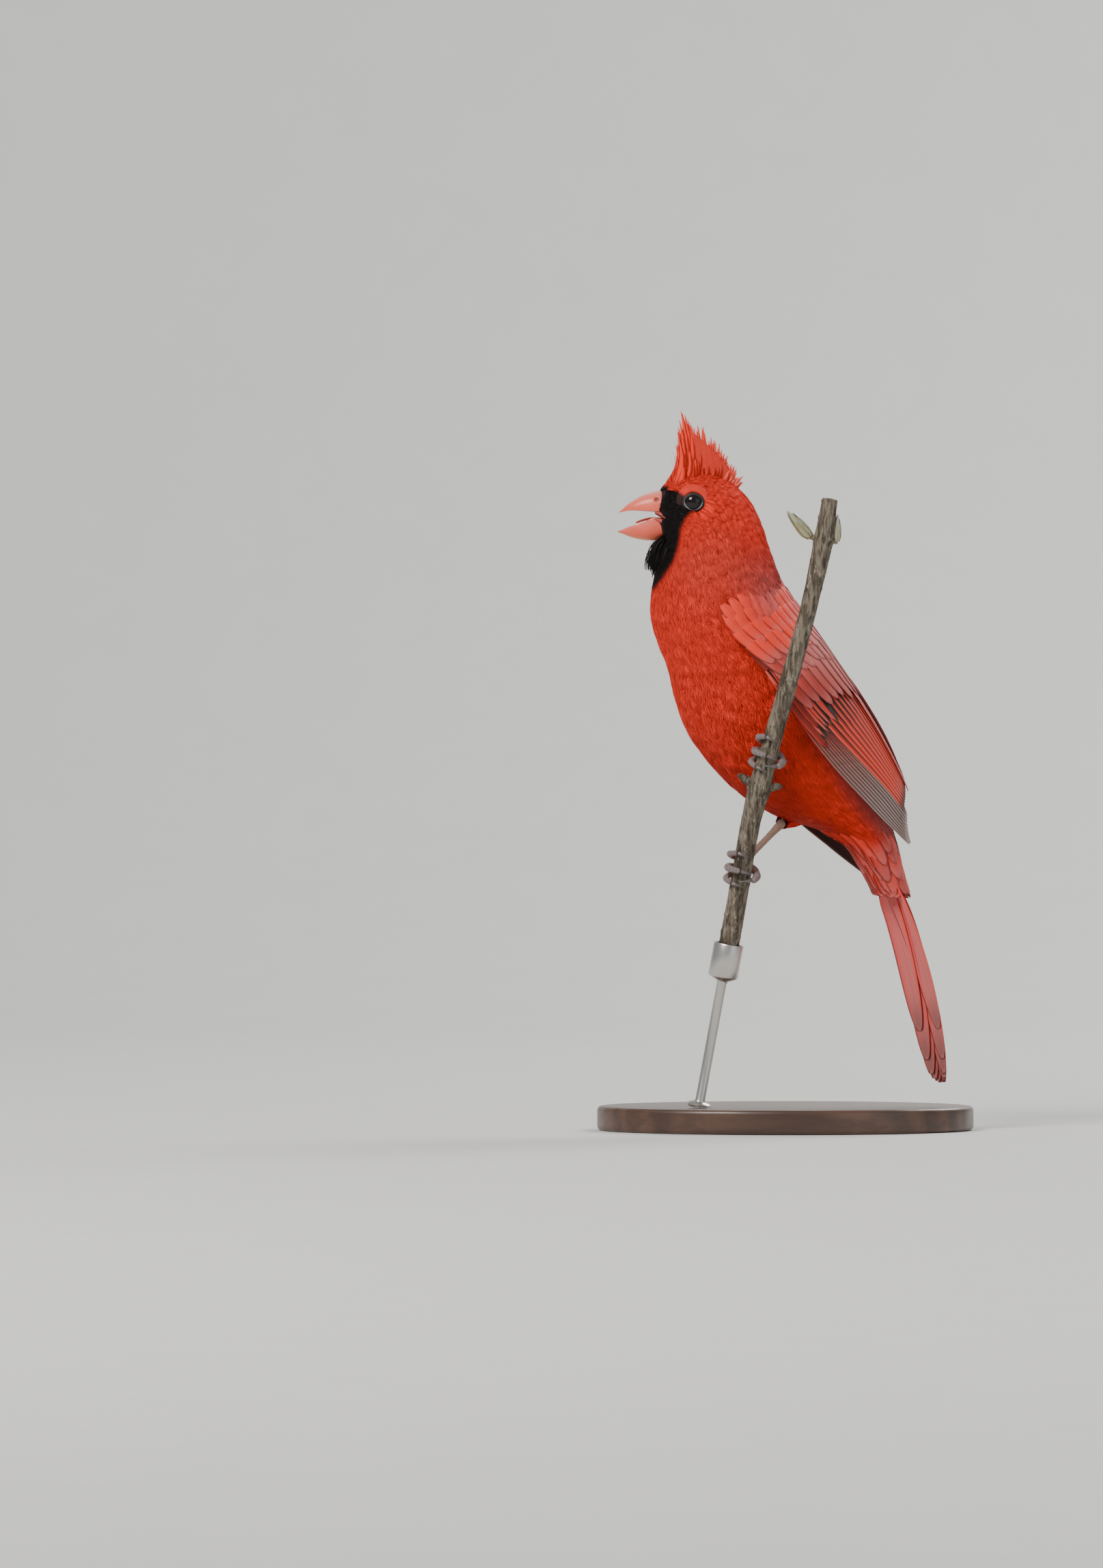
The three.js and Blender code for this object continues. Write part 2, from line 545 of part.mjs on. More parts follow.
function bibLocks() {
  const locks = [];
  for (let row = 0; row < BIB.rows; row += 1) {
    for (let i = 0; i < BIB.across; i += 1) {
      const step = BIB.first + row * BIB.pitch;
      const turn = Math.PI + (i - (BIB.across - 1) / 2) * BIB.turn + (row % 2 ? 0.12 : -0.12);
      const root = bodyPoint(step, turn, -1.2);
      const out = V(-1, root.y * BIB.fan, -0.15).normalize();
      const down = V(-0.1, 0, -1).normalize();
      const reach = BIB.down * (0.8 + 0.12 * ((row * 2 + i) % 3));
      const forward = BIB.out * mix(1, 0.62, row / (BIB.rows - 1));
      // Each lock bends out from the skin, then hangs down.
      const middleAt = (f) => root.clone()
        .addScaledVector(out, forward * (1 - (1 - f) ** 2))
        .addScaledVector(down, reach * (0.45 * f + 0.55 * f * f));
      const path = (share) => {
        const along = middleAt(share + 0.02).sub(middleAt(share - 0.02)).normalize();
        const normal = out.clone().addScaledVector(along, -out.dot(along)).normalize();
        return { middle: middleAt(share), side: new THREE.Vector3().crossVectors(along, normal), normal };
      };
      locks.push(vane(path, BIB.width, BIB.thick, { parts: 2, across: 1, shape: lockShape }));
    }
  }
  return locks;
}

// Tail

const tailCurve = new THREE.CatmullRomCurve3(TAIL.line.map(([x, z]) => V(x, 0, z)), false, "centripetal");
function tailFrame(share) {
  const f = Math.min(Math.max(share, 0), 1);
  const along = tailCurve.getTangent(f);
  const middle = tailCurve.getPoint(f).addScaledVector(along, (share - f) * tailCurve.getLength());
  const up = V(-along.z, 0, along.x);
  const [c, s] = [Math.cos(TAIL.roll * DEG), Math.sin(TAIL.roll * DEG)];
  return {
    middle,
    normal: up.clone().multiplyScalar(c).add(V(0, s, 0)),
    side: up.clone().multiplyScalar(s).add(V(0, -c, 0)),
  };
}
function tailVane(pair, side, length) {
  const reach = 1 - TAIL.shorter[pair] / length;
  const layer = (TAIL.pairs - 1) / 2 - pair;
  return vane((share) => {
    const { middle, normal, side: out } = tailFrame(share * reach);
    const open = TAIL.spread * (0.16 + 0.84 * share) * ((pair + 0.6) / TAIL.pairs);
    middle.addScaledVector(out, side * open).addScaledVector(normal, TAIL.pitch * layer + side * 0.08);
    return { middle, side: out, normal };
  }, TAIL.width, TAIL.thick, { parts: 4, across: 1, tilt: -0.03 * side, shape: tailShape });
}
function tailFeathers() {
  const length = tailCurve.getLength();
  const vanes = [];
  for (let pair = 0; pair < TAIL.pairs; pair += 1) {
    for (const side of [LEFT, RIGHT]) vanes.push(tailVane(pair, side, length));
  }
  return joined(vanes);
}
// The room that the rump leaves round the root of the tail.
function tailSlot() {
  const deep = TAIL.pairs * TAIL.pitch * 0.5 + TAIL.thick / 2 + GAP * 1.5;
  return solidOf(slab(1, 6, (x, y, z) => {
    const share = z * 0.5 - 0.02;
    const { middle, side, normal } = tailFrame(share);
    const half = (TAIL.width / 2) * tailShape(share * 1.3);
    const open = half + TAIL.spread * (0.16 + 0.84 * Math.max(share, 0)) + GAP * 1.2;
    return middle.addScaledVector(side, x * open).addScaledVector(normal, y * deep);
  }));
}
// Coverts that lie along the base of the tail, above and below it.
function tailCoverts(face) {
  return Array.from({ length: COVERTS.count }, (_, i) => {
    const turn = (face > 0 ? 0 : Math.PI) + (i - (COVERTS.count - 1) / 2) * COVERTS.turn;
    const from = face > 0 ? COVERTS.above : COVERTS.below;
    const path = (share) => {
      const step = mix(from, BODY.length - 1, share);
      const middle = bodyPoint(step, turn, mix(-0.5, 1.1, share ** 0.7));
      const ahead = bodyPoint(step + 0.3, turn).sub(bodyPoint(step - 0.3, turn)).normalize();
      const out = bodyPoint(step, turn, 1).sub(bodyPoint(step, turn)).normalize();
      const side = new THREE.Vector3().crossVectors(ahead, out).normalize();
      return { middle, side, normal: new THREE.Vector3().crossVectors(side, ahead) };
    };
    return vane(path, COVERTS.width, COVERTS.thick, { parts: 2, across: 1 });
  });
}

// Stem and buds

const stemCurve = new THREE.CatmullRomCurve3(STEM.map((s) => V(...s.at)), false, "centripetal");
const stemRadius = (f) => between(STEM.map((s) => s.radius), f * (STEM.length - 1));
function stemShareAt(height) {
  let [low, high] = [0, 1];
  for (let i = 0; i < 30; i += 1) {
    const middle = (low + high) / 2;
    if (stemCurve.getPoint(middle).z < height) low = middle;
    else high = middle;
  }
  return (low + high) / 2;
}
function stemFrame(height) {
  const f = stemShareAt(height);
  const along = stemCurve.getTangent(f);
  const front = V(0, -1, 0).addScaledVector(along, along.y).normalize();
  const left = new THREE.Vector3().crossVectors(along, front).negate();
  return { centre: stemCurve.getPoint(f), along, front, left, radius: stemRadius(f) };
}
function stemForm(grow = 0) {
  return solidOf(tube(STEM.map((s) => V(...s.at)), STEM.map((s) => s.radius + grow), 11, 15));
}
function budForm({ side, length, radius: thick, lean, out: off }) {
  const { centre, along, left, radius } = stemFrame(NODE_HEIGHTS.upper);
  const out = left.clone().multiplyScalar(side);
  const way = out.clone().multiplyScalar(Math.sin(lean * DEG)).addScaledVector(along, Math.cos(lean * DEG));
  const start = centre.clone().addScaledVector(out, radius + GAP + off);
  const points = [0, 0.5, 1].map((f) =>
    start.clone().addScaledVector(way, length * f).addScaledVector(along, 1.2 * f * f));
  return solidOf(tube(points, [0.85, thick * 0.9, thick, thick * 0.75, 0.15], 8, 6));
}
function twigStubs() {
  return [[1, 4.2], [-1, 3.4]].map(([side, reach]) => {
    const { centre, along, left, radius } = stemFrame(NODE_HEIGHTS.lower);
    const out = left.clone().multiplyScalar(side);
    const points = [0.4, 0.75, 1].map((f) =>
      centre.clone().addScaledVector(out, (radius + reach) * f).addScaledVector(along, 2.6 * f));
    return solidOf(tube(points, [1.7, 1.2, 0.5], 7, 3));
  });
}

// Legs and feet

function roundStem(height, angle, out) {
  const { centre, front, left, radius } = stemFrame(height);
  const a = angle * DEG;
  const far = radius + out;
  return centre.addScaledVector(front, far * Math.cos(a)).addScaledVector(left, far * Math.sin(a));
}
function toePoints(grip, toe) {
  return [0, 0.25, 0.5, 0.75, 1].map((f) =>
    roundStem(grip + mix(toe.low, toe.high, f), mix(toe.from, toe.to, f), toe.radius + GAP + 0.1));
}
function toeForm(grip, toe) {
  return solidOf(tube(toePoints(grip, toe), TOE_SWELL.map((swell) => swell * toe.radius), TOE_SIDES, 6));
}
// The sole of the foot, where the toes meet behind the stem.
function palmForm(foot) {
  const at = roundStem(foot.grip - 0.2, 180, TOE_RADIUS + GAP + 0.45);
  return solidOf(new THREE.SphereGeometry(1, 9, 6).scale(2.0, 1.45, 3.4).translate(at.x, at.y, at.z));
}
function clawForm(grip, toe) {
  const way = Math.sign(toe.to - toe.from);
  const points = [0, 0.5, 1].map((f) => roundStem(
    grip + toe.high + CLAW.drop * f,
    toe.to + way * (11 + CLAW.sweep * f),
    CLAW.radius + GAP + 0.35 * Math.sin(Math.PI * f),
  ));
  return solidOf(tube(points, [CLAW.radius * 1.1, CLAW.radius * 0.85, CLAW.tip], 6, 4));
}
function legForm(foot, grow = 0) {
  const heel = roundStem(foot.grip + 0.4, 178, TOE_RADIUS + GAP + 0.5);
  const ankle = V(...foot.ankle);
  const points = [heel, heel.clone().lerp(ankle, 0.5), ankle];
  return solidOf(tube(points, LEG_RADII.map((r) => r + grow), 8, 6));
}
function thighForm(foot) {
  const [ankle, knee] = [V(...foot.ankle), V(...foot.knee)];
  return solidOf(tube([ankle, ankle.clone().lerp(knee, 0.5), knee], THIGH_RADII, 12, 4));
}

// Stand

function baseForm() {
  const [r, b, t] = [BASE.length / 2, BASE.bevel, BASE.thick];
  const profile = [[0, 0], [r - b / 2, 0], [r, b / 2], [r, t - b], [r - b, t], [0, t]];
  const disc = new THREE.LatheGeometry(profile.map(([x, y]) => new THREE.Vector2(x, y)), 40);
  return solidOf(disc.rotateX(90 * DEG).scale(1, BASE.depth / BASE.length, 1));
}
function rodForm() {
  const { centre, along } = stemFrame(STEM[0].at[2]);
  const drop = (centre.z - BASE.thick - GAP - 2) / along.z;
  const [inner, outer] = [STEM[0].radius + GAP + 0.3, ROD.cup];
  const floor = -GAP - 0.4;
  const flange = ROD.radius * 2.4;
  // The flange on the base, the rod, then the cup's outer side and its hollow.
  const profile = [
    [0, -drop], [flange, -drop], [flange, ROD.foot - drop], [ROD.radius, ROD.foot + 1 - drop],
    [ROD.radius, floor - ROD.wall], [outer, floor - 1.2], [outer, ROD.cupHeight],
    [inner, ROD.cupHeight], [inner, floor], [0, floor],
  ];
  const turned = new THREE.LatheGeometry(profile.map(([x, y]) => new THREE.Vector2(x, y)), 16);
  const turn = new THREE.Matrix4().makeRotationFromQuaternion(
    new THREE.Quaternion().setFromUnitVectors(V(0, 1, 0), along));
  const rod = solidOf(turned.applyMatrix4(turn.setPosition(centre)));
  const below = new THREE.BoxGeometry(40, 40, 30).translate(centre.x, centre.y, BASE.thick + GAP - 15);
  return rod.subtract(solidOf(below));
}

function build() {
  const group = new THREE.Group();
  const add = (name, solid, look) => group.add(nodeOf(name, solid, look));

  const stem = joined([stemForm(), ...twigStubs()]);
  const stemRoom = joined([stemForm(GAP), ...twigStubs()]);
  add("stand_base", baseForm(), "wood");
  add("stand_rod", rodForm(), "metal");
  add("perch_stem", stem, "bark");
  add("perch_bud_left", budForm(BUDS.left).subtract(stemRoom), "bud");
  add("perch_bud_right", budForm(BUDS.right).subtract(stemRoom), "bud");

  const body = bodyForm();
  const bodyRoom = bodyForm(GAP);
  const tail = tailFeathers();
  add("tail", tail, "wing");

  // The whole body is parted into head, neck, torso and rump by thin cuts.
  const cuts = [CUT_HEAD, CUT_NECK, CUT_RUMP].map((step) => cutPlate(step));
  const pieces = joined([body]).subtract(joined(cuts)).decompose()
    .sort((a, b) => b.boundingBox().max[2] - a.boundingBox().max[2]);
  const [headCore, neckCore, torsoCore, rumpCore] = pieces;

  const bills = { upper: billForm(BILL_UPPER, true), lower: billForm(BILL_LOWER, false) };
  const billRoom = joined([billForm(BILL_UPPER, true, GAP), billForm(BILL_LOWER, false, GAP)]);
  const crestRoots = joined([crestCore(), ...crestVanes()]);
  // The bib's locks hang clear of the neck.
  const [, ...under] = bodyForm(GAP * 2).subtract(cutPlate(CUT_HEAD, 0.02)).decompose()
    .sort((a, b) => b.boundingBox().max[2] - a.boundingBox().max[2]);
  const bib = joined(bibLocks()).subtract(joined(under));
  const headBall = joined([headCore, bib, lidRing(LEFT), lidRing(RIGHT)])
    .subtract(eyeBall(LEFT, GAP)).subtract(eyeBall(RIGHT, GAP))
    .subtract(mouthHollow()).subtract(billRoom);
  add("head", headBall, "red");
  // The crest meets the crown along an offset of the head's own surface.
  add("crest", crestRoots.subtract(bodyRoom), "red");
  add("bill_upper", bills.upper.subtract(nostril(LEFT)).subtract(nostril(RIGHT)), "bill");
  add("bill_lower", bills.lower, "bill");
  add("tongue", tongueForm(), "bill");
  add("eye_left", eyeBall(LEFT), "eye");
  add("eye_right", eyeBall(RIGHT), "eye");

  const legs = [["left", FEET.left], ["right", FEET.right]];
  add("neck", neckCore, "red");
  const thighs = joined(legs.map(([, foot]) => thighForm(foot)));
  const legRoom = joined(legs.flatMap(([, foot]) => {
    const end = new THREE.SphereGeometry(1.6 + GAP * 1.4, 12, 8).translate(...foot.ankle);
    return [legForm(foot, GAP * 1.2), solidOf(end)];
  }));
  add("torso", joined([torsoCore, thighs]).subtract(cuts[1]).subtract(cuts[2]).subtract(legRoom)
    .subtract(stemRoom), "red");
  const tailRoom = tailSlot();
  const rump = joined([rumpCore, ...tailCoverts(1), ...tailCoverts(-1)]);
  add("rump", rump.subtract(cuts[2]).subtract(tailRoom), "red");

  // Fewer, wider faces and a wider gap keep the wings' inner faces plain.
  const beside = joined([bodyForm(0.85, 16, 24), stemRoom, tailRoom]);
  add("wing_left", wingForm(LEFT).subtract(beside), "wing");
  add("wing_right", wingForm(RIGHT).subtract(beside), "wing");

  for (const [name, foot] of legs) {
    const toes = TOES.map((toe) => toeForm(foot.grip, toe));
    add(`foot_${name}`, joined([legForm(foot), palmForm(foot), ...toes]), "leg");
    for (const toe of TOES) add(`claw_${name}_${toe.name}`, clawForm(foot.grip, toe), "claw");
  }
  return group;
}

export default build();
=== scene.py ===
"""A male northern cardinal singing on an upright twig, on a small oval display stand.

Sizes are in millimetres in the tables and in metres in the meshes. The bird faces -X and its left
side is towards -Y. Every coat piece is a joined mesh of thin feathers that lie along the body.
"""

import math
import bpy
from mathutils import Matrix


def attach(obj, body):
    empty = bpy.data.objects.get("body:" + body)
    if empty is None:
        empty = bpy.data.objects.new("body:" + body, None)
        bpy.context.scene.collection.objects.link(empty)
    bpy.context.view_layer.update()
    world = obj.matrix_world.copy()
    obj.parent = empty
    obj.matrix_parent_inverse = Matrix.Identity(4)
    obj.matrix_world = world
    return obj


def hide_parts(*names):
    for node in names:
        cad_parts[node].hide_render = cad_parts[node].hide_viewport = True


bl_info = {
    "name": "Northern Cardinal Model",
    "version": (1, 0, 0),
    "blender": (4, 5, 0),
    "location": "3D View > Sidebar > Cardinal",
    "description": "Builds a life-size singing cardinal on a twig and a display stand",
    "category": "Add Mesh",
}

import bmesh
import bpy
import numpy as np
from mathutils import Matrix, Vector, noise

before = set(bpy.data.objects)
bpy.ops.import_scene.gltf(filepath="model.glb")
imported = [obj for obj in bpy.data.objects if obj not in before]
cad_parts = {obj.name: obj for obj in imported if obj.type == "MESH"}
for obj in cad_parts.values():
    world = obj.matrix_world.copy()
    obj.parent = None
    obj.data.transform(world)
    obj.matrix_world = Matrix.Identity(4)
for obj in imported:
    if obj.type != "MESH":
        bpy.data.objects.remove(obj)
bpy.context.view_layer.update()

MM = 0.001
TAU = 2 * math.pi
LEFT, RIGHT = 1, -1

# Body stations from the face to the root of the tail: a point on the belly line and one on the
# back line as x and z, the half width, how much wider it is below than above, and its roll.
STATIONS = (
    ((-41.2, 195.2), (-42.4, 210.0), 6.0, 0.05, 0),
    ((-40.6, 193.6), (-38.2, 214.0), 8.4, 0.10, 0),
    ((-40.4, 192.2), (-30.6, 216.6), 10.2, 0.12, 0),
    ((-40.6, 190.7), (-20.6, 214.8), 11.9, 0.12, 1),
    ((-41.2, 188.8), (-12.8, 208.8), 13.4, 0.08, 3),
    ((-42.1, 186.2), (-8.2, 200.6), 14.9, 0.04, 6),
    ((-43.0, 182.6), (-5.2, 191.6), 16.4, 0.00, 9),
    ((-43.9, 177.4), (-2.0, 182.6), 18.2, 0.00, 12),
    ((-44.3, 169.6), (1.8, 173.4), 20.3, 0.00, 16),
    ((-42.0, 160.8), (5.8, 163.6), 21.6, 0.00, 19),
    ((-38.4, 151.6), (12.2, 153.0), 22.2, 0.00, 22),
    ((-36.2, 141.8), (17.8, 143.4), 22.4, 0.00, 24),
    ((-32.2, 131.2), (22.6, 133.6), 21.8, 0.00, 25),
    ((-25.4, 121.3), (27.2, 124.2), 20.2, 0.00, 26),
    ((-15.4, 111.2), (30.8, 114.4), 17.6, 0.00, 26),
    ((-3.0, 103.5), (33.6, 105.6), 14.2, 0.00, 27),
    ((9.0, 99.6), (35.6, 98.0), 11.2, 0.00, 27),
    ((18.4, 95.6), (37.0, 91.6), 8.8, 0.00, 27),
    ((24.6, 87.2), (38.4, 84.6), 7.2, 0.00, 27),
    ((30.2, 77.4), (40.4, 76.4), 5.6, 0.00, 27),
)
LAST = len(STATIONS) - 1
# Eye: its middle, how far it stands out, the ball's radius and the bare ring round it.
EYE = {"x": -30.4, "z": 206.5, "out": 8.1, "radius": 3.7, "bare": 3.35}
MOUTH = {"x": -42.6, "z": 202.5, "reach": 6.2, "across": 8.6, "open": 1.9, "droop": 31}

# Bill stations from the base to the tip: ridge, cutting edge, half width.
BILL_UPPER = (
    ((-39.4, 210.6), (-37.4, 202.4), 5.2), ((-42.4, 210.5), (-41.4, 203.7), 5.5),
    ((-47.0, 209.2), (-46.6, 204.1), 4.5), ((-50.9, 207.0), (-50.6, 204.2), 3.0),
    ((-53.4, 204.9), (-53.2, 203.8), 1.5), ((-54.7, 203.55), (-54.7, 203.35), 0.5),
)
BILL_LOWER = (
    ((-37.8, 194.9), (-38.2, 199.6), 5.2), ((-41.4, 194.4), (-42.8, 201.5), 5.4),
    ((-46.2, 194.3), (-46.4, 200.2), 4.6), ((-50.6, 195.2), (-50.9, 198.8), 3.2),
    ((-53.6, 196.4), (-53.8, 197.7), 1.7), ((-55.2, 197.0), (-55.2, 197.25), 0.5),
)
NOSTRIL = (-42.3, 207.6)

# Wing sheet: an axis down the back, with the lower edge and the back ridge at each station.
WING = {
    "at": (-12.5, 0, 152.3), "axis": (0.52, 0, -0.854), "roll": 24, "first": -12, "step": 18,
    "edge_up": (-8.2, -6.9, -5.3, -2.2, 3.6, 9.1), "edge_out": (21.4, 24.6, 24.8, 23.2, 19.6, 16.2),
    "ridge_up": (23.0, 24.4, 25.6, 25.4, 22.6, 15.5), "ridge_out": (4.0, 3.0, 3.0, 3.8, 5.8, 11.0),
    "length": 90, "droop": 1.6, "shift": 3.0, "reach": 5.2,
}
# Tail: its middle line, roll, pairs of feathers and how much shorter each pair is than the first.
TAIL = {
    "line": ((31.8, 88.0), (35.8, 78.0), (39.9, 67.0), (44.2, 52.0), (48.2, 34.0), (51.0, 15.6)),
    "roll": 27, "pairs": 6, "width": 11.4, "spread": 6.6, "pitch": 0.42,
    "length": 75.0, "shorter": (0, 0.5, 1.2, 2.6, 6.5, 14.5),
}
CREST = {
    "root_front": (-38.8, 211.7), "root_back": (-20.5, 210.2),
    "tip_front": (-34.4, 238.1), "tip_back": (-13.6, 213.2), "sag": 4.6, "bulge": 1.5, "half": 5.4,
}
STEM = (
    ((-20.6, -23.2, 53.0), 3.5), ((-16.4, -25.2, 76.0), 3.35), ((-11.9, -27.4, 102.0), 3.3),
    ((-9.2, -28.3, 112.6), 3.75), ((-5.9, -29.3, 125.0), 3.15), ((0.4, -31.0, 147.6), 3.0),
    ((7.6, -33.4, 175.0), 2.85), ((11.6, -34.8, 193.6), 3.2), ((13.6, -35.9, 207.0), 2.6),
)
NODE_HEIGHTS = {"lower": 112.6, "upper": 193.6}
FEET = {
    "left": {"grip": 124.6, "ankle": (1.0, -19.2, 120.4), "knee": (6.0, -8.0, 122.0)},
    "right": {"grip": 87.0, "ankle": (-0.8, -5.6, 101.6), "knee": (4.0, 2.0, 106.0)},
}
# Toes: name, start and end angle round the stem, height above the grip at both ends, radius.
TOES = (
    ("hind", -165, -48, 0.6, -3.8, 1.25), ("inner", 178, 34, 1.8, 4.4, 1.05),
    ("middle", 172, 8, -0.6, -1.2, 1.15), ("outer", 176, 40, -2.6, -5.4, 1.0),
)
CLAW = {"sweep": 46, "radius": 0.68, "tip": 0.16, "drop": -0.8}
GAP = 0.32


# Numbers

def mix(a, b, f):
    return a + (b - a) * f


def smooth(low, high, value):
    f = np.clip((np.asarray(value, float) - low) / (high - low), 0, 1)
    return f * f * (3 - 2 * f)


def unit(vectors):
    return vectors / np.maximum(np.linalg.norm(vectors, axis=-1, keepdims=True), 1e-12)


def between(values, step):
    """A smooth value between evenly spaced rows of values, at whole or part steps."""
    values = np.asarray(values, float)
    last = len(values) - 1
    at = np.clip(np.asarray(step, float), 0, last)
    i = np.minimum(np.floor(at).astype(int), last - 1)
    f = at - i
    if values.ndim > 1:
        f = f[..., None]
    p = [values[np.clip(i + k, 0, last)] for k in (-1, 0, 1, 2)]
    low, high = (p[2] - p[0]) / 2, (p[3] - p[1]) / 2
    return ((2 * f**3 - 3 * f**2 + 1) * p[1] + (f**3 - 2 * f**2 + f) * low
            + (3 * f**2 - 2 * f**3) * p[2] + (f**3 - f**2) * high)


def curve_at(points, share):
    """A centripetal curve through points, at shares from 0 to 1 of its spans."""
    p = np.asarray(points, float)
    p = np.vstack([2 * p[0] - p[1], p, 2 * p[-1] - p[-2]])
    at = np.clip(np.asarray(share, float), 0, 1) * (len(p) - 3)
    i = np.minimum(np.floor(at).astype(int), len(p) - 4)
    w = (at - i)[..., None]
    a, b, c, d = (p[i + k] for k in range(4))
    da, db, dc = (np.sqrt(np.linalg.norm(v - u, axis=-1, keepdims=True))
                  for u, v in ((a, b), (b, c), (c, d)))
    low = ((b - a) / da - (c - a) / (da + db) + (c - b) / db) * db
    high = ((c - b) / db - (d - b) / (db + dc) + (d - c) / dc) * db
    return ((2 * w**3 - 3 * w**2 + 1) * b + (w**3 - 2 * w**2 + w) * low
            + (3 * w**2 - 2 * w**3) * c + (w**3 - w**2) * high)


def xz(pairs):
    """Points in the bird's middle plane."""
    return np.array([(x, 0.0, z) for x, z in pairs])


# Body surface

BODY_TABLE = {
    "belly": xz([s[0] for s in STATIONS]), "back": xz([s[1] for s in STATIONS]),
    "half": [s[2] for s in STATIONS], "pear": [s[3] for s in STATIONS],
    "roll": [math.radians(s[4]) for s in STATIONS],
}


def body(step, angle, grow=0.0):
    """The body's surface: angle 0 on the back, a quarter turn on the bird's left, half on the belly."""
    step, angle = np.broadcast_arrays(np.asarray(step, float), np.asarray(angle, float))
    belly, back = between(BODY_TABLE["belly"], step), between(BODY_TABLE["back"], step)
    seen = (back - belly) / 2
    depth = np.linalg.norm(seen, axis=-1)
    up = unit(seen)
    half, pear, roll = (between(BODY_TABLE[k], step) for k in ("half", "pear", "roll"))
    c, s = np.cos(roll), np.sin(roll)
    tall = np.sqrt(np.maximum(depth**2 - (half * s) ** 2, 1)) / c
    across = np.array((0.0, 1.0, 0.0))
    tilted_up = up * c[..., None] + across * s[..., None]
    side = up * s[..., None] - across * c[..., None]
    wide = (half + grow) * (1 - pear * np.cos(angle)) * np.sin(angle)
    return ((back + belly) / 2 + tilted_up * ((tall + grow) * np.cos(angle))[..., None]
            + side * wide[..., None])


def body_scale(step, angle):
    """How many millimetres one step and one radian are at places on the body."""
    along = np.linalg.norm(body(step + 0.1, angle) - body(step - 0.1, angle), axis=-1) / 0.2
    around = np.linalg.norm(body(step, angle + 0.05) - body(step, angle - 0.05), axis=-1) / 0.1
    return np.maximum(along, 1.5), np.maximum(around, 1.5)


# Joined meshes

def paint(mesh, colour):
    """Gives each vertex its colour, in the attribute that the materials read."""
    rgba = np.ones((len(mesh.vertices), 4), np.float32)
    rgba[:, :3] = colour
    mesh.attributes.new("Plumage", "FLOAT_COLOR", "POINT").data.foreach_set("color", rgba.ravel())


def add_map(mesh, name, places):
    """A UV map that takes one place from each vertex."""
    corners = np.zeros(len(mesh.loops), np.int32)
    mesh.loops.foreach_get("vertex_index", corners)
    places = np.asarray(places, np.float32)[corners]
    mesh.uv_layers.new(name=name).data.foreach_set("uv", places.ravel())


def placed(name, mesh, material=None):
    """A smooth-shaded object in the scene for a finished mesh."""
    obj = bpy.data.objects.new(name, mesh)
    bpy.context.scene.collection.objects.link(obj)
    mesh.polygons.foreach_set("use_smooth", [True] * len(mesh.polygons))
    if material:
        mesh.materials.append(material)
    return obj


def from_bmesh(name, bm, material=None):
    """An object with its faces turned outward, from a mesh under construction."""
    bmesh.ops.recalc_face_normals(bm, faces=bm.faces)
    mesh = bpy.data.meshes.new(name)
    bm.to_mesh(mesh)
    bm.free()
    return placed(name, mesh, material)


def shaped_ball(name, around, rows, place, material=None):
    """A closed form: a ball whose points are placed by their turn and share from pole to pole."""
    bm = bmesh.new()
    bmesh.ops.create_uvsphere(bm, u_segments=around, v_segments=rows, radius=1.0)
    rest = np.array([v.co for v in bm.verts])
    turn, share = np.arctan2(rest[:, 1], rest[:, 0]), np.arccos(np.clip(rest[:, 2], -1, 1)) / math.pi
    p = place(turn, share)
    for v, spot in zip(bm.verts, p * MM):
        v.co = spot
    return from_bmesh(name, bm, material), turn, share, p


def formed(name, around, rows, place, tint, material):
    """A shaped ball with the colours that a tint gives to its points."""
    obj, turn, share, p = shaped_ball(name, around, rows, place, material)
    paint(obj.data, tint(turn, share, p))
    return obj


def ball_rows(share, rows):
    """How far each point of a ball lies between its first and last ring, and which are its poles."""
    return np.clip((share * rows - 1) / (rows - 2), 0, 1), (share < 1e-4) | (share > 1 - 1e-4)


def stands_for(obj, slot, *nodes):
    """Says what a finished piece rides on and the solids that it replaces; its slot is not used."""
    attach(obj, "root")
    if nodes:
        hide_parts(*nodes)
    return obj


def ribbon_faces(rows, ring, count):
    """Faces of count closed ribbons of rows rings each, with caps of triangles at both ends."""
    r, k = np.meshgrid(np.arange(rows - 1), np.arange(ring), indexing="ij")
    after = (k + 1) % ring
    quads = np.stack([r * ring + k, r * ring + after, (r + 1) * ring + after, (r + 1) * ring + k], -1)
    fan = np.arange(1, ring - 1)
    start = np.stack([np.zeros_like(fan), fan + 1, fan], -1)
    end = (rows - 1) * ring + np.stack([np.zeros_like(fan), fan, fan + 1], -1)
    shift = (np.arange(count) * rows * ring)[:, None, None]
    return ((quads.reshape(1, -1, 4) + shift).reshape(-1, 4),
            (np.concatenate([start, end])[None] + shift).reshape(-1, 3))


# Plumage colours, as linear red, green and blue

SCARLET = np.array((0.92, 0.046, 0.022))
ROSE = np.array((0.90, 0.125, 0.090))
CRIMSON = np.array((0.48, 0.022, 0.012))
MAUVE = np.array((0.56, 0.120, 0.115))
DUSK = np.array((0.34, 0.170, 0.155))
MASK = np.array((0.010, 0.008, 0.008))
# The mask's rear edge seen from the side, from the top of the bill to the bib, as x and z.
MASK_EDGE = ((-40.2, 212.4), (-36.8, 211.0), (-33.9, 209.0), (-31.0, 206.0), (-30.6, 203.6),
             (-33.0, 201.2), (-34.6, 197.5), (-35.0, 194.0), (-36.0, 190.0), (-37.6, 186.0),
             (-40.2, 182.0), (-43.6, 177.6))


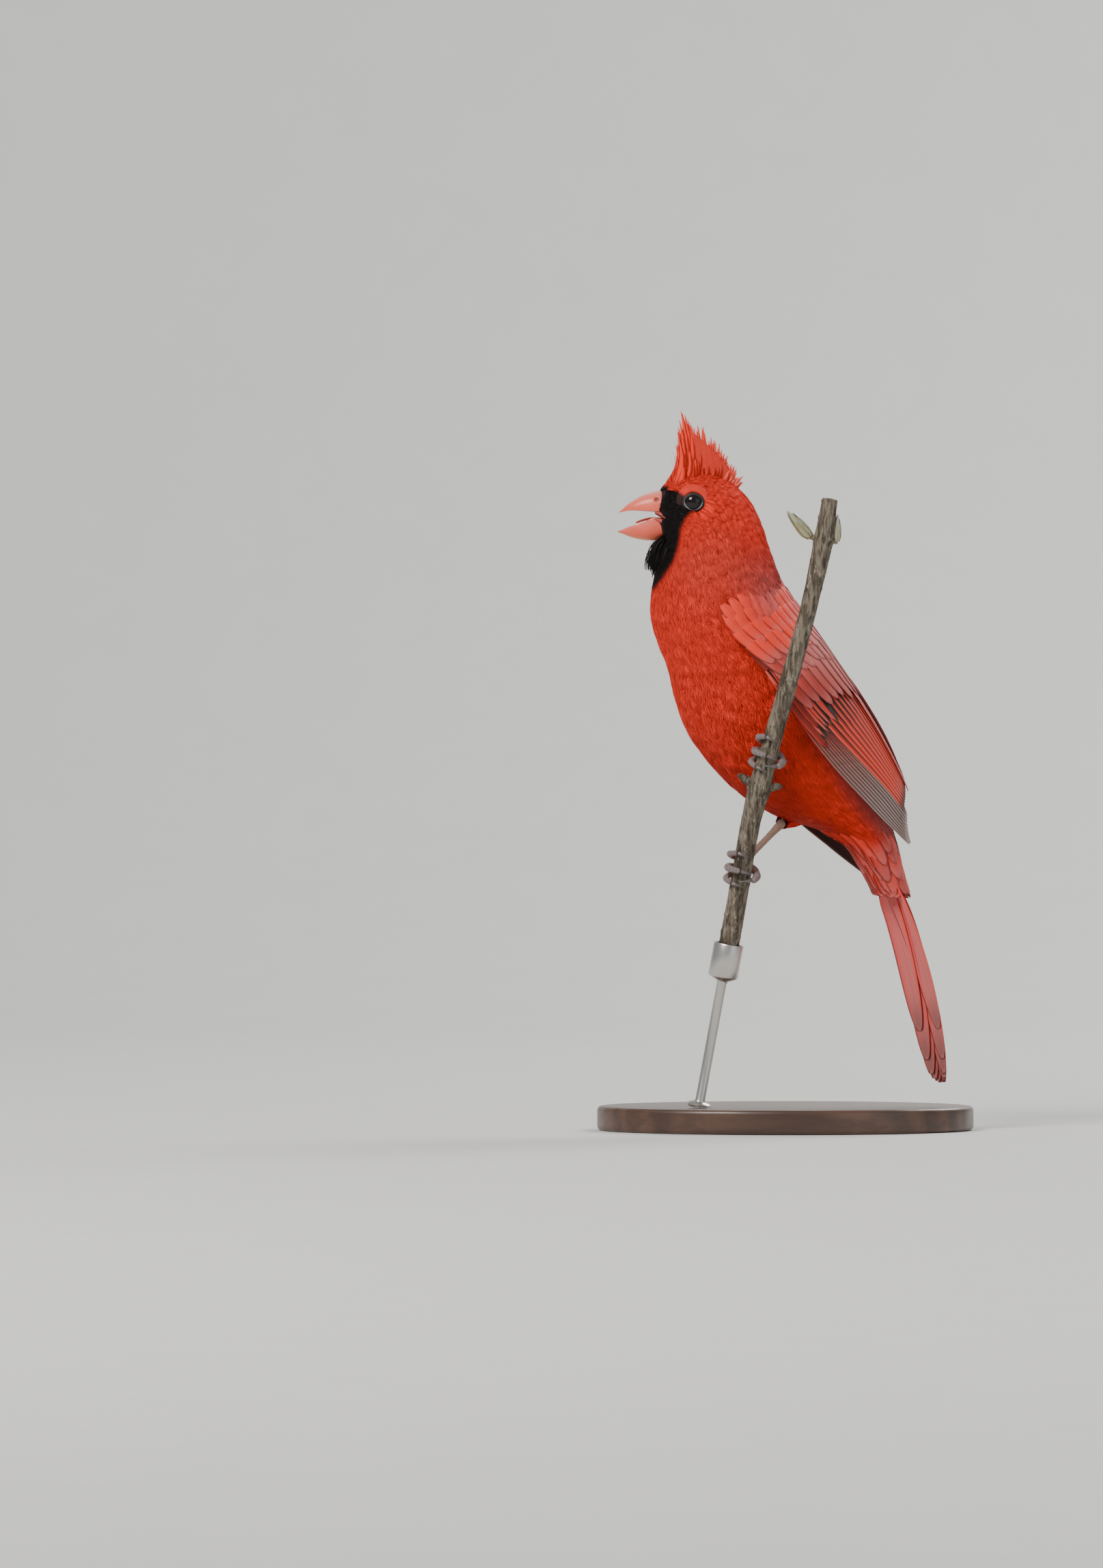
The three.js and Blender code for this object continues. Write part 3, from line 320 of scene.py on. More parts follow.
def mask_share(p):
    """1 inside the black mask and bib, 0 outside, with a soft edge."""
    heights = np.array([z for _, z in MASK_EDGE][::-1])
    edges = np.array([x for x, _ in MASK_EDGE][::-1])
    edge = np.interp(p[..., 2], heights, edges)
    inside = smooth(0.9, -0.7, p[..., 0] - edge)
    return inside * smooth(176.4, 178.6, p[..., 2]) * smooth(212.9, 211.7, p[..., 2])


def plumage(p, step, angle, along, chance):
    """The coat's colour at points, by where they are, their share along a feather and a random share."""
    above = smooth(-0.15, 0.75, np.cos(angle))
    below = smooth(-0.2, -0.95, np.cos(angle))
    mantle = above * smooth(5.4, 8.2, step)
    # Darker crimson towards the vent, more so underneath: partly the plumage's own duller red, partly
    # painted shade under the body.
    vent = smooth(10.5, 14.5, step) * (0.35 + 0.65 * below)
    # Painted highlight: the sides of the neck turn rose, where the light falls on them.
    neck = smooth(3.6, 6.0, step) * smooth(9.5, 6.5, step) * smooth(0.95, 0.2, np.abs(np.cos(angle) + 0.1))
    colour = SCARLET + (ROSE - SCARLET) * (0.34 * neck)[..., None]
    colour = mix(colour, CRIMSON, (0.75 * vent)[..., None])
    colour = mix(colour, MAUVE, (0.92 * mantle)[..., None])
    colour = mix(colour, DUSK, (mantle * 0.75 * smooth(0.78, 1.0, along))[..., None])
    colour = mix(colour, ROSE, (0.16 * smooth(0.7, 1.0, along) * (1 - mantle))[..., None])
    colour = mix(colour, colour * 0.82, smooth(0.3, 0.0, along)[..., None])
    colour = colour * (0.95 + 0.10 * chance)[..., None]
    return mix(colour, MASK * (0.7 + 0.8 * chance)[..., None], mask_share(p)[..., None])


# Feathers on the body

# The side of the patch that one feather takes on the OFBake map
PATCH_SIDE = 0.003


def patch_middle(step, angle):
    """Where a feather that roots at a place on the body has its patch, inside the map's edges."""
    return np.stack([(angle / TAU) % 1.0 * 0.96 + 0.02, step / LAST * 0.96 + 0.02], -1)


class Shape:
    """A small feather: rows along it, its half width at each, and a shallow roofed section."""

    def __init__(self, rows, blunt, roof=0.22, thin=0.10, taper=0.5, ring=4):
        y = np.linspace(0, 1, rows)
        grow = np.clip(taper + (1 - taper) * y / 0.35, 0, 1)
        tip = np.sqrt(np.clip(1 - np.clip((y - 0.35) / 0.66, 0, 1) ** blunt, 0.004, 1))
        self.y, self.half = y, grow * tip
        self.x = np.array((-1.0, 0.0, 1.0, 0.0)[:ring])
        self.z = np.array((0.0, roof, 0.0, roof - thin)[:ring])
        self.rows, self.ring = rows, ring


LEAF = Shape(5, 3.0)
HAIR = Shape(3, 1.2, roof=0.5, thin=0.0, taper=0.9, ring=3)


def body_feathers(step, angle, length, width, turn, low, high, shape, chance, start=None):
    """Feathers that follow the body from their roots, as points, colours and both maps.

    Barbs start part of the way along their feather, which start gives as a share.
    """
    n = len(step)
    scale_s, scale_a = body_scale(step, angle)
    y = np.broadcast_to(shape.y[None, :, None], (n, shape.rows, shape.ring))
    x = shape.x[None, None, :] * shape.half[None, :, None] * (width / 2)[:, None, None]
    reach = y * length[:, None, None]
    bend = turn[:, None, None] * (0.6 + 0.4 * y)
    ds = (reach * np.cos(bend) - x * np.sin(bend)) / scale_s[:, None, None]
    da = (reach * np.sin(bend) + x * np.cos(bend)) / scale_a[:, None, None]
    s = np.clip(step[:, None, None] + ds, 0.0, LAST)
    a = angle[:, None, None] + da
    rise = low[:, None, None] + (high - low)[:, None, None] * y
    rise = rise + shape.z[None, None, :] * (width / 2)[:, None, None] * shape.half[None, :, None] * 0.8
    p = body(s, a, rise)
    random = np.broadcast_to(chance[:, None, None], y.shape)
    along = y if start is None else start[:, None, None] + (1 - start[:, None, None]) * y
    colour = plumage(p, s, a, along, random)
    vane = np.stack([np.broadcast_to(shape.x * 0.5 + 0.5, y.shape), y], -1)
    return p, colour, vane, patch_middle(step, angle)[:, None, None, :] + (vane - 0.5) * PATCH_SIDE


class Pile:
    """Points, faces, colours and maps gathered into one mesh."""

    def __init__(self):
        self.points, self.quads, self.tris, self.colours, self.vanes, self.bakes = ([] for _ in range(6))
        self.count, self.mapped = 0, False

    def add(self, p, quads, tris, colour, vane=None, bake=None):
        """Adds one set of faces and points, with the two maps of a feather where they are given."""
        n = p.size // 3
        self.points.append(p.reshape(-1, 3))
        self.quads.append(np.asarray(quads, int).reshape(-1, 4) + self.count)
        self.tris.append(np.asarray(tris, int).reshape(-1, 3) + self.count)
        self.colours.append(np.broadcast_to(colour, p.shape).reshape(-1, 3))
        for store, values in ((self.vanes, vane), (self.bakes, bake)):
            store.append(np.zeros((n, 2)) if values is None else np.asarray(values).reshape(n, 2))
        self.mapped = self.mapped or vane is not None
        self.count += n

    def ribbons(self, p, colour, vane=None, bake=None):
        """Adds closed ribbons, as an array of ribbon, row and place round the section."""
        quads, tris = ribbon_faces(p.shape[1], p.shape[2], len(p))
        self.add(p, quads, tris, colour, vane, bake)

    def make(self, name, material, slot, *nodes):
        """The joined mesh as one finished piece."""
        points = np.concatenate(self.points) * MM
        quads, tris = np.concatenate(self.quads), np.concatenate(self.tris)
        corners = np.concatenate([quads.ravel(), tris.ravel()])
        starts = np.concatenate([np.arange(len(quads)) * 4, quads.size + np.arange(len(tris)) * 3])
        mesh = bpy.data.meshes.new(name)
        mesh.vertices.add(len(points))
        mesh.vertices.foreach_set("co", points.astype(np.float32).ravel())
        mesh.loops.add(len(corners))
        mesh.loops.foreach_set("vertex_index", corners.astype(np.int32))
        mesh.polygons.add(len(starts))
        mesh.polygons.foreach_set("loop_start", starts.astype(np.int32))
        mesh.update(calc_edges=True)
        if self.mapped:
            add_map(mesh, "Vane", np.concatenate(self.vanes))
            add_map(mesh, "OFBake", np.concatenate(self.bakes))
        paint(mesh, np.concatenate(self.colours))
        return stands_for(placed(name, mesh, material), slot, *nodes)


def eye_distance(p):
    """How far points lie from the middle of an eye, as seen from the side."""
    return np.hypot(p[..., 0] - EYE["x"], p[..., 2] - EYE["z"])


def scattered_roots(first, last, gap_along, gap_across, rng):
    """Staggered roots over the body between two steps, with gaps in millimetres."""
    steps, angles = [], []
    ring = np.linspace(-math.pi, math.pi, 96)
    at = first
    while at < last:
        scale_s, scale_a = body_scale(np.full_like(ring, at), ring)
        lengths = np.concatenate([[0], np.cumsum((scale_a[1:] + scale_a[:-1]) / 2 * np.diff(ring))])
        count = max(int(lengths[-1] / gap_across(at)), 4)
        where = (np.arange(count) + rng.random()) / count * lengths[-1]
        where = where + rng.uniform(-0.35, 0.35, count) * gap_across(at)
        a = np.interp(where % lengths[-1], lengths, ring)
        steps.append(at + rng.uniform(-0.5, 0.5, count) * gap_along(at) / np.interp(a, ring, scale_s))
        angles.append(a)
        at += gap_along(at) / float(np.median(scale_s))
    return np.clip(np.concatenate(steps), 0.02, LAST - 0.05), np.concatenate(angles)


# Shaders

class Value:
    """A shader value, so that shader maths is written as an expression."""

    def __init__(self, shader, socket):
        self.shader, self.socket = shader, socket

    def math(self, operation, other=None, swapped=False):
        pair = [self] if other is None else ([other, self] if swapped else [self, other])
        return self.shader.node("ShaderNodeMath", {i: v for i, v in enumerate(pair)}, operation=operation)

    def __add__(self, other):
        return self.math("ADD", other)

    def __radd__(self, other):
        return self.math("ADD", other)

    def __sub__(self, other):
        return self.math("SUBTRACT", other)

    def __rsub__(self, other):
        return self.math("SUBTRACT", other, True)

    def __mul__(self, other):
        return self.math("MULTIPLY", other)

    def __rmul__(self, other):
        return self.math("MULTIPLY", other)

    def sin(self):
        return self.math("SINE")

    def abs(self):
        return self.math("ABSOLUTE")

    def clip(self, low, high):
        """0 at low, 1 at high and held there outside."""
        return self.shader.node("ShaderNodeMapRange", {0: self, 1: low, 2: high, 3: 0.0, 4: 1.0})


class Shader:
    """A material with one Principled surface, its nodes made by one method."""

    def __init__(self, name, **sockets):
        self.material = bpy.data.materials.new(name)
        self.material.use_nodes = True
        self.tree = self.material.node_tree
        self.surface = self.tree.nodes["Principled BSDF"]
        for key, value in sockets.items():
            self.surface.inputs[key.replace("_", " ")].default_value = value

    def node(self, kind, sockets=None, out=0, **settings):
        """Adds a node: its settings first, then the values or links of its sockets."""
        node = self.tree.nodes.new(kind)
        for key, value in settings.items():
            setattr(node, key, value)
        for key, value in (sockets or {}).items():
            self.set(node.inputs[key], value)
        return Value(self, node.outputs[out])

    def set(self, socket, value):
        if isinstance(value, Value):
            self.tree.links.new(value.socket, socket)
        elif isinstance(value, (tuple, list, np.ndarray)) and len(value) == 3 and socket.type == "RGBA":
            socket.default_value = (*[float(v) for v in value], 1.0)
        else:
            socket.default_value = value

    def feed(self, name, value):
        self.set(self.surface.inputs[name], value)

    def mix(self, factor, a, b, blend="MIX"):
        return self.node("ShaderNodeMix", {0: factor, 6: a, 7: b}, 2, data_type="RGBA", blend_type=blend)

    def tone(self):
        """The colours painted on the mesh."""
        return self.node("ShaderNodeAttribute", attribute_name="Plumage")

    def object_place(self, x=1.0, y=1.0, z=1.0):
        """The piece's own coordinates, stretched along an axis whose factor is small."""
        place = self.node("ShaderNodeTexCoord", out=3)
        return self.node("ShaderNodeMapping", {0: place, 3: (x, y, z)})

    def noise(self, place, scale, detail=3.0, rough=0.5):
        return self.node("ShaderNodeTexNoise", {"Vector": place, "Scale": scale, "Detail": detail,
                                                "Roughness": rough})

    def bump(self, height, distance):
        self.feed("Normal", self.node("ShaderNodeBump", {"Height": height, "Distance": distance,
                                                         "Strength": 1.0}))


def feather_shader(name, barbs, slope, contrast, rough):
    """Feather vanes: barbs that run out and forward from the shaft, as fine ridges and streaks."""
    s = Shader(name, Specular_IOR_Level=0.14)
    colour = s.tone()
    split = s.node("ShaderNodeSeparateXYZ", {0: s.node("ShaderNodeUVMap", uv_map="Vane")})
    across, along = (Value(s, split.socket.node.outputs[k]) for k in range(2))
    out = (across - 0.5).abs()
    ridge = ((along - out * slope) * (barbs * TAU)).sin() * 0.5 + 0.5
    grain = s.noise(s.object_place(), 900.0, 2.0)
    tone = (1.06 - contrast) + ridge * (contrast * 0.4) + grain * (contrast * 0.9)
    shaft = out.clip(0.0, 0.05) * 0.12 + 0.88
    grey = s.node("ShaderNodeCombineColor", {k: tone * shaft for k in range(3)})
    s.feed("Base Color", s.mix(1.0, colour, grey, "MULTIPLY"))
    s.feed("Roughness", grain * 0.2 + (rough - 0.1))
    s.bump(ridge, 0.00001)
    return s.material


def grained(name, under, scale, depth, stretch=1.0, detail=3.0, share=0.5, **sockets):
    """A finish in the mesh's own colours, broken by a fine grain of a second colour."""
    s = Shader(name, **sockets)
    grain = s.noise(s.object_place(z=stretch), scale, detail)
    s.feed("Base Color", s.mix(grain * share, s.tone(), under))
    s.bump(grain, depth)
    return s.material


def tongue_shader():
    """Soft wet flesh."""
    s = Shader("Moist tongue", Roughness=0.28, Subsurface_Weight=0.15, Base_Color=(0.42, 0.10, 0.08, 1))
    s.bump(s.noise(s.object_place(), 1800.0), 0.0001)
    return s.material


def eye_shader():
    """A dark wet eye."""
    s = Shader("Dark eye", Roughness=0.05, IOR=1.3, Coat_Weight=0.35, Coat_Roughness=0.02)
    grain = s.noise(s.object_place(), 900.0)
    s.feed("Base Color", s.mix(grain, (0.004, 0.003, 0.003), (0.012, 0.006, 0.004)))
    return s.material


def bill_shader():
    """Coral horn, paler along the ridge (a painted highlight on the upper half), with fine lengthwise
    streaks.
    """
    s = Shader("Bill horn", Roughness=0.34, Subsurface_Weight=0.12, Coat_Weight=0.15, Coat_Roughness=0.3)
    s.surface.inputs["Subsurface Radius"].default_value = (0.0015, 0.0006, 0.0004)
    streaks = s.noise(s.object_place(x=0.35), 1400.0, 4.0)
    blotch = s.noise(s.object_place(), 260.0, 2.0)
    base = s.mix(streaks * 0.16, s.tone(), (0.80, 0.36, 0.28))
    s.feed("Base Color", s.mix(blotch.clip(0.45, 0.8) * 0.22, base, (0.55, 0.06, 0.03)))
    s.feed("Roughness", streaks * 0.25 + 0.24)
    s.bump(streaks, 0.00008)
    return s.material


def leg_shader():
    """Scaled leg skin, greyish flesh with darker seams between the scales."""
    s = Shader("Leg scales", Subsurface_Weight=0.08)
    grain = s.noise(s.object_place(), 1600.0, 4.0)
    cells = s.node("ShaderNodeTexVoronoi", {"Vector": s.object_place(), "Scale": 1500.0},
                   feature="DISTANCE_TO_EDGE")
    seams = cells.clip(0.0, 0.12)
    scaled = s.mix(seams, (0.10, 0.07, 0.065), s.tone())
    s.feed("Base Color", s.mix(grain * 0.5, scaled, (0.30, 0.24, 0.22)))
    s.feed("Roughness", grain * 0.3 + 0.38)
    s.bump(seams * 0.6 + grain * 0.4, 0.00012)
    return s.material


def bark_shader():
    """Weathered grey-brown bark with dark lengthwise fissures and pale flecks."""
    s = Shader("Twig bark", Roughness=0.85, Specular_IOR_Level=0.2)
    fine = s.noise(s.object_place(z=0.4), 3200.0, 3.0, 0.7)
    flecks = s.noise(s.object_place(z=0.5), 520.0, 4.0, 0.7).clip(0.56, 0.68)
    cracks = s.noise(s.object_place(z=0.16), 900.0, 5.0, 0.65).clip(0.36, 0.5)
    patches = s.noise(s.object_place(z=0.2), 300.0, 3.0, 0.6).clip(0.50, 0.58)
    base = s.mix(patches * 0.85, s.tone(), (0.050, 0.032, 0.022))
    base = s.mix(cracks, (0.022, 0.016, 0.011), base)
    base = s.mix(flecks * 0.7, base, (0.50, 0.44, 0.34))
    s.feed("Base Color", s.mix(fine.clip(0.3, 0.75) * 0.6, base, (0.17, 0.135, 0.10)))
    s.feed("Roughness", fine * 0.25 + 0.68)
    s.bump(cracks * 0.6 + fine * 0.4, 0.0006)
    return s.material


def wood_shader(colour):
    """Dark varnished hardwood, its grain running along the base."""
    s = Shader("Varnished base", Coat_Weight=0.35, Coat_Roughness=0.22)
    grain = s.noise(s.object_place(x=0.10), 260.0, 6.0, 0.6)
    rings = s.node("ShaderNodeTexWave", {"Vector": s.object_place(0.12, 1, 0.6), "Scale": 40.0,
                                         "Distortion": 7.0, "Detail": 3.0}, bands_direction="Y")
    light = s.mix(rings * 0.6, tuple(colour), tuple(c * 0.45 for c in colour))
    s.feed("Base Color", s.mix(grain.clip(0.42, 0.6) * 0.5, light, tuple(c * 0.3 for c in colour)))
    s.feed("Roughness", grain * 0.2 + 0.32)
    s.bump(grain, 0.00006)
    return s.material


def metal_shader():
    """Brushed metal, its fine lines running round the rod."""
    s = Shader("Brushed rod", Metallic=1.0, Base_Color=(0.55, 0.53, 0.50, 1))
    brush = s.noise(s.object_place(900, 900, 12), 1.0, 4.0)
    s.feed("Roughness", brush * 0.25 + 0.2)
    s.bump(brush, 0.00002)
    return s.material


def floor_shader():
    """Matt pale paper."""
    s = Shader("Pale floor", Roughness=0.7)
    s.feed("Base Color", s.mix(s.noise(s.object_place(), 40.0), (0.70, 0.70, 0.68), (0.74, 0.74, 0.72)))
    return s.material


MATERIALS = {}


def make_materials(sizes):
    """Every finish of the model, made once."""
    MATERIALS.update(
        coat=feather_shader("Body feathers", barbs=9.0, slope=0.7, contrast=0.10, rough=0.6),
        flight=feather_shader("Flight feathers", barbs=60.0, slope=0.6, contrast=0.06, rough=0.5),
        skin=grained("Skin under the feathers", (0.10, 0.03, 0.025), 700.0, 0.0003, stretch=0.35,
                     detail=4.0, Roughness=0.75, Specular_IOR_Level=0.2),
        bill=bill_shader(), mouth=tongue_shader(), eye=eye_shader(),
        lid=grained("Eyelid skin", (0.05, 0.045, 0.05), 2600.0, 0.00012, Roughness=0.5),
        leg=leg_shader(),
        claw=grained("Claw horn", (0.20, 0.17, 0.15), 1500.0, 0.00004, stretch=0.4, share=0.45,
                     Roughness=0.3, Coat_Weight=0.2),
        bark=bark_shader(),
        bud=grained("Bud scales", (0.20, 0.17, 0.08), 1400.0, 0.00015, stretch=0.3, detail=4.0,
                    Roughness=0.5, Subsurface_Weight=0.1),
        wood=wood_shader(sizes.base_colour), metal=metal_shader(), floor=floor_shader(),
    )


# Skin

SKIN_DEPTH = (0.9, 1.5)


def skin_place(angle, share):
    """Points of the skin, which lies under the feather tips, deeper on the body than on the face."""
    along, poles = ball_rows(share, 220)
    step = LAST * along
    p = body(step, angle, -mix(*SKIN_DEPTH, smooth(2.0, 7.0, step)))
    p[poles] = ((body(step, 0.0) + body(step, math.pi)) / 2)[poles]
    return shape_eye_socket(p)


def build_skin():
    """One skin over the head, the neck, the torso and the rump, with the mouth cut into it."""
    obj = shaped_ball("skin", 96, 220, skin_place, MATERIALS["skin"])[0]
    cut_mouth(obj)
    mesh = obj.data
    co = np.zeros(len(mesh.vertices) * 3)
    mesh.vertices.foreach_get("co", co)
    co = co.reshape(-1, 3) / MM
    s, a = nearest_place(co)
    colour = plumage(co, s, a, np.full(len(co), 0.6), np.full(len(co), 0.4))
    paint(mesh, mix(colour, np.array((0.30, 0.06, 0.05)), mouth_share(co)[:, None]))
    add_map(mesh, "OFBake", np.stack([(a / TAU) % 1.0, s / LAST], -1))
    stands_for(obj, "plumage_red", "head", "neck", "torso", "rump")


def nearest_place(points):
    """The step and angle on the body nearest to points, from a coarse grid of it."""
    steps = np.linspace(0, LAST, 200)
    angles = np.linspace(-math.pi, math.pi, 72, endpoint=False)
    grid_s, grid_a = (g.ravel() for g in np.meshgrid(steps, angles))
    grid = body(grid_s, grid_a, np.full(len(grid_s), -1.0))
    best = np.empty(len(points), int)
    for i in range(0, len(points), 2000):
        part = points[i:i + 2000]
        best[i:i + 2000] = ((part[:, None, :] - grid[None]) ** 2).sum(-1).argmin(1)
    return grid_s[best], grid_a[best]


def shape_eye_socket(p):
    """Sinks the skin behind each eyeball and raises a low rim round it."""
    away = eye_distance(p)
    side = np.where(p[:, 1] < 0, -1.0, 1.0)
    near = (away < 7.0) & (np.abs(p[:, 1]) > 4.0)
    out = np.abs(p[:, 1])
    rim = np.interp(away, (0, 2.7, 3.1, 3.6, 5.2, 7.0), (7.6, 7.9, 9.9, 10.2, 10.1, 9.8))
    blend = np.where(near, smooth(7.0, 4.2, away), 0.0)
    p[:, 1] = side * mix(out, np.minimum(rim, np.maximum(out, rim)), blend)
    return p


def mouth_frame():
    """The directions along, across and over the gape, as rows."""
    turn = math.radians(MOUTH["droop"])
    return np.array(((math.cos(turn), 0, -math.sin(turn)), (0, 1, 0), (math.sin(turn), 0, math.cos(turn))))


MOUTH_AT = np.array((MOUTH["x"], 0, MOUTH["z"]))
MOUTH_SIZE = np.array((MOUTH["reach"], MOUTH["across"], MOUTH["open"]))


def mouth_share(p):
    """1 inside the gape, 0 outside, with a soft edge."""
    local = (p - MOUTH_AT) @ mouth_frame().T
    return smooth(1.25, 1.0, ((local / MOUTH_SIZE) ** 2).sum(-1))


def cut_mouth(obj):
    """Cuts the gape out of the skin."""
    bm = bmesh.new()
    bmesh.ops.create_uvsphere(bm, u_segments=48, v_segments=24, radius=1.0)
    for v in bm.verts:
        v.co = Vector(((np.array(v.co) * MOUTH_SIZE) @ mouth_frame() + MOUTH_AT) * MM)
    cutter = from_bmesh("mouth_cutter", bm)
    cut = obj.modifiers.new("Mouth", "BOOLEAN")
    cut.operation, cut.solver, cut.object = "DIFFERENCE", "EXACT", cutter
    apply_modifiers(obj)
    bpy.data.objects.remove(cutter)


def apply_modifiers(obj):
    """Puts the mesh that the modifiers make in the place of the object's own."""
    graph = bpy.context.evaluated_depsgraph_get()
    old, obj.data = obj.data, bpy.data.meshes.new_from_object(obj.evaluated_get(graph))
    obj.modifiers.clear()
    bpy.data.meshes.remove(old)
    obj.data.name = obj.name


# Coat

# The space between roots as a share of a feather's length along the body and of its width round it
ROOT_GAP = (0.25, 0.5)

REGIONS = (
    # name, first and last step, feather length and width in millimetres at both ends, barbs a feather
    ("coat_face", 0.05, 2.4, (2.4, 1.5), (3.6, 2.1), 9),
    ("coat_crown", 2.4, 4.8, (4.0, 2.3), (6.2, 3.4), 11),
    ("coat_neck", 4.8, 7.4, (6.6, 3.6), (9.0, 4.8), 15),
    ("coat_breast", 7.4, 9.4, (9.0, 4.8), (10.5, 5.6), 18),
    ("coat_sides", 9.4, 11.4, (10.5, 5.6), (11.5, 6.0), 18),
    ("coat_belly", 11.4, 14.0, (11.5, 6.0), (11.5, 6.0), 18),
    ("coat_rump", 14.0, 18.7, (11.0, 6.0), (10.0, 5.0), 15),
)


def coat_region(name, first, last, small, large, barbs, density, seed):
    """One band of the coat: overlapping vanes, and loose barbs that fray their edges."""
    rng = np.random.default_rng(seed)

    def size_at(step, k):
        return mix(small[k], large[k], np.clip((step - first) / (last - first), 0, 1))

    def gap(step, k):
        return float(size_at(step, k)) * ROOT_GAP[k] / density

    step, angle = scattered_roots(first, last, lambda s: gap(s, 0), lambda s: gap(s, 1), rng)
    length, width = size_at(step, 0), size_at(step, 1)
    keep = rooted(step, angle, length)
    step, angle, length, width = (v[keep] for v in (step, angle, length, width))
    n = len(step)
    turn = rng.normal(0, 0.08, n)
    length = length * rng.uniform(0.85, 1.12, n)
    chance = rng.random(n)
    low, high = -0.075 * length - 0.2, 0.012 * length + rng.uniform(-0.05, 0.08, n) * length / 8
    pile = Pile()
    pile.ribbons(*body_feathers(step, angle, length, width, turn, low - 0.1, high - 0.036 * length, LEAF,
                                0.3 + 0.4 * chance))

    picks = rng.integers(0, n, n * barbs)
    start = rng.uniform(0.02, 0.72, len(picks))
    splay = rng.normal(0, 0.26, len(picks))
    scale_s, scale_a = body_scale(step[picks], angle[picks])
    barb_step = np.clip(step[picks] + start * length[picks] / scale_s, 0, LAST - 0.05)
    barb_angle = angle[picks] + (splay * 0.7 * width[picks] + start * length[picks] * turn[picks]) / scale_a
    barb_length = length[picks] * (1.06 - start) * rng.uniform(0.7, 1.1, len(picks))
    keep = rooted(barb_step, barb_angle, barb_length)
    picks, start, splay, barb_step, barb_angle, barb_length = (
        v[keep] for v in (picks, start, splay, barb_step, barb_angle, barb_length))
    thin = (0.045 * width[picks] + 0.04) * rng.uniform(0.7, 1.25, len(picks))
    lift = low[picks] + (high - low)[picks] * start + 0.06 * width[picks]
    top = high[picks] + rng.uniform(0.0, 0.05, len(picks)) * width[picks]
    tone = np.clip(0.65 * chance[picks] + 0.35 * rng.random(len(picks)), 0, 1)
    pile.ribbons(*body_feathers(barb_step, barb_angle, barb_length, thin, turn[picks] + splay, lift, top,
                                HAIR, tone, start))
    pile.make(name, MATERIALS["coat"], "plumage_red")


def build_thighs():
    """Short dense feathers that hide the top of each shank."""
    rng = np.random.default_rng(51)
    pile = Pile()
    vanes, strands = 130, 290
    for foot in FEET.values():
        ankle, knee = np.array(foot["ankle"]), np.array(foot["knee"])
        along = unit(ankle - knee)
        side = unit(np.cross(along, (0.3, 0.2, 0.93)))
        rise = np.cross(side, along)
        for i in range(vanes + strands):
            loose = i >= vanes
            turn = rng.uniform(0, TAU)
            out = side * math.cos(turn) + rise * math.sin(turn)
            start = rng.uniform(-0.15, 0.75)
            end = min(start + rng.uniform(0.45, 0.7), 1.0) + rng.uniform(0.0, 0.16)

            def path(y, out=out, start=start, end=end, ankle=ankle, knee=knee, along=along):
                f = mix(start, end, y)
                far = np.interp(f, (0, 0.5, 1.0, 1.2), (5.4, 4.3, 2.2, 1.75)) + 0.25 * y
                middle = knee + (ankle - knee) * f[:, None] + out * far[:, None]
                across = np.broadcast_to(np.cross(along, out), middle.shape)
                return middle, across, np.broadcast_to(out, middle.shape)

            red = mix(SCARLET, CRIMSON, 0.55) * rng.uniform(0.8, 1.1)
            width = rng.uniform(0.2, 0.3) if loose else rng.uniform(1.4, 2.4)
            add_blade(pile, path, width, 0.0, STRAND if loose else LANCE, 0.14, plain(red))
    pile.make("coat_thighs", MATERIALS["coat"], "plumage_red")


def build_scapulars():
    """Long soft feathers from the shoulders that lie over the front of both wings."""
    rng = np.random.default_rng(53)
    n = 150
    step = rng.uniform(7.3, 9.6, n)
    angle = rng.uniform(0.08, 1.45, n) * np.where(np.arange(n) % 2, 1, -1)
    length, width = rng.uniform(9.5, 12.5, n), rng.uniform(5.0, 6.6, n)
    turn = rng.normal(0, 0.08, n)
    low, high = np.full(n, -0.3), mix(0.5, 1.9, (step - 7.3) / 2.3)
    chance = rng.random(n)
    pile = Pile()
    pile.ribbons(*body_feathers(step, angle, length, width, turn, low, high, LEAF, chance))
    picks = rng.integers(0, n, n * 20)
    start = rng.uniform(0.02, 0.72, len(picks))
    splay = rng.normal(0, 0.24, len(picks))
    scale_s, scale_a = body_scale(step[picks], angle[picks])
    lift = low[picks] + (high - low)[picks] * start + 0.07 * width[picks]
    pile.ribbons(*body_feathers(
        step[picks] + start * length[picks] / scale_s,
        angle[picks] + (splay * 0.7 * width[picks] + start * length[picks] * turn[picks]) / scale_a,
        length[picks] * (1.05 - start), np.full(len(picks), 0.24), turn[picks] + splay, lift,
        high[picks] + 0.2, HAIR, chance[picks], start))
    pile.make("coat_scapulars", MATERIALS["coat"], "plumage_red")


# No feather roots ahead of this place, between these heights and within this half width
BILL_FOOT = {"x": -39.6, "low": 194.8, "high": 210.9, "half": 5.9}


def rooted(step, angle, length):
    """Leaves out feathers that would cover an eye, the bill or the mouth."""
    root = body(step, angle)
    scale_s, _ = body_scale(step, angle)
    tip = body(np.clip(step + length / scale_s, 0, LAST), angle)
    middle = (root + tip) / 2
    near = np.minimum(np.minimum(eye_distance(root), eye_distance(tip)), eye_distance(middle))
    x, y, z = root[:, 0], np.abs(root[:, 1]), root[:, 2]
    clear = (near > EYE["bare"]) | (y < 5.0)
    at_bill = (x < BILL_FOOT["x"]) & (y < BILL_FOOT["half"])
    at_bill = at_bill & (z > BILL_FOOT["low"]) & (z < BILL_FOOT["high"])
    return clear & ~at_bill & (mouth_share(root) < 0.5)


# Long feathers of the wings, tail, crest and bib

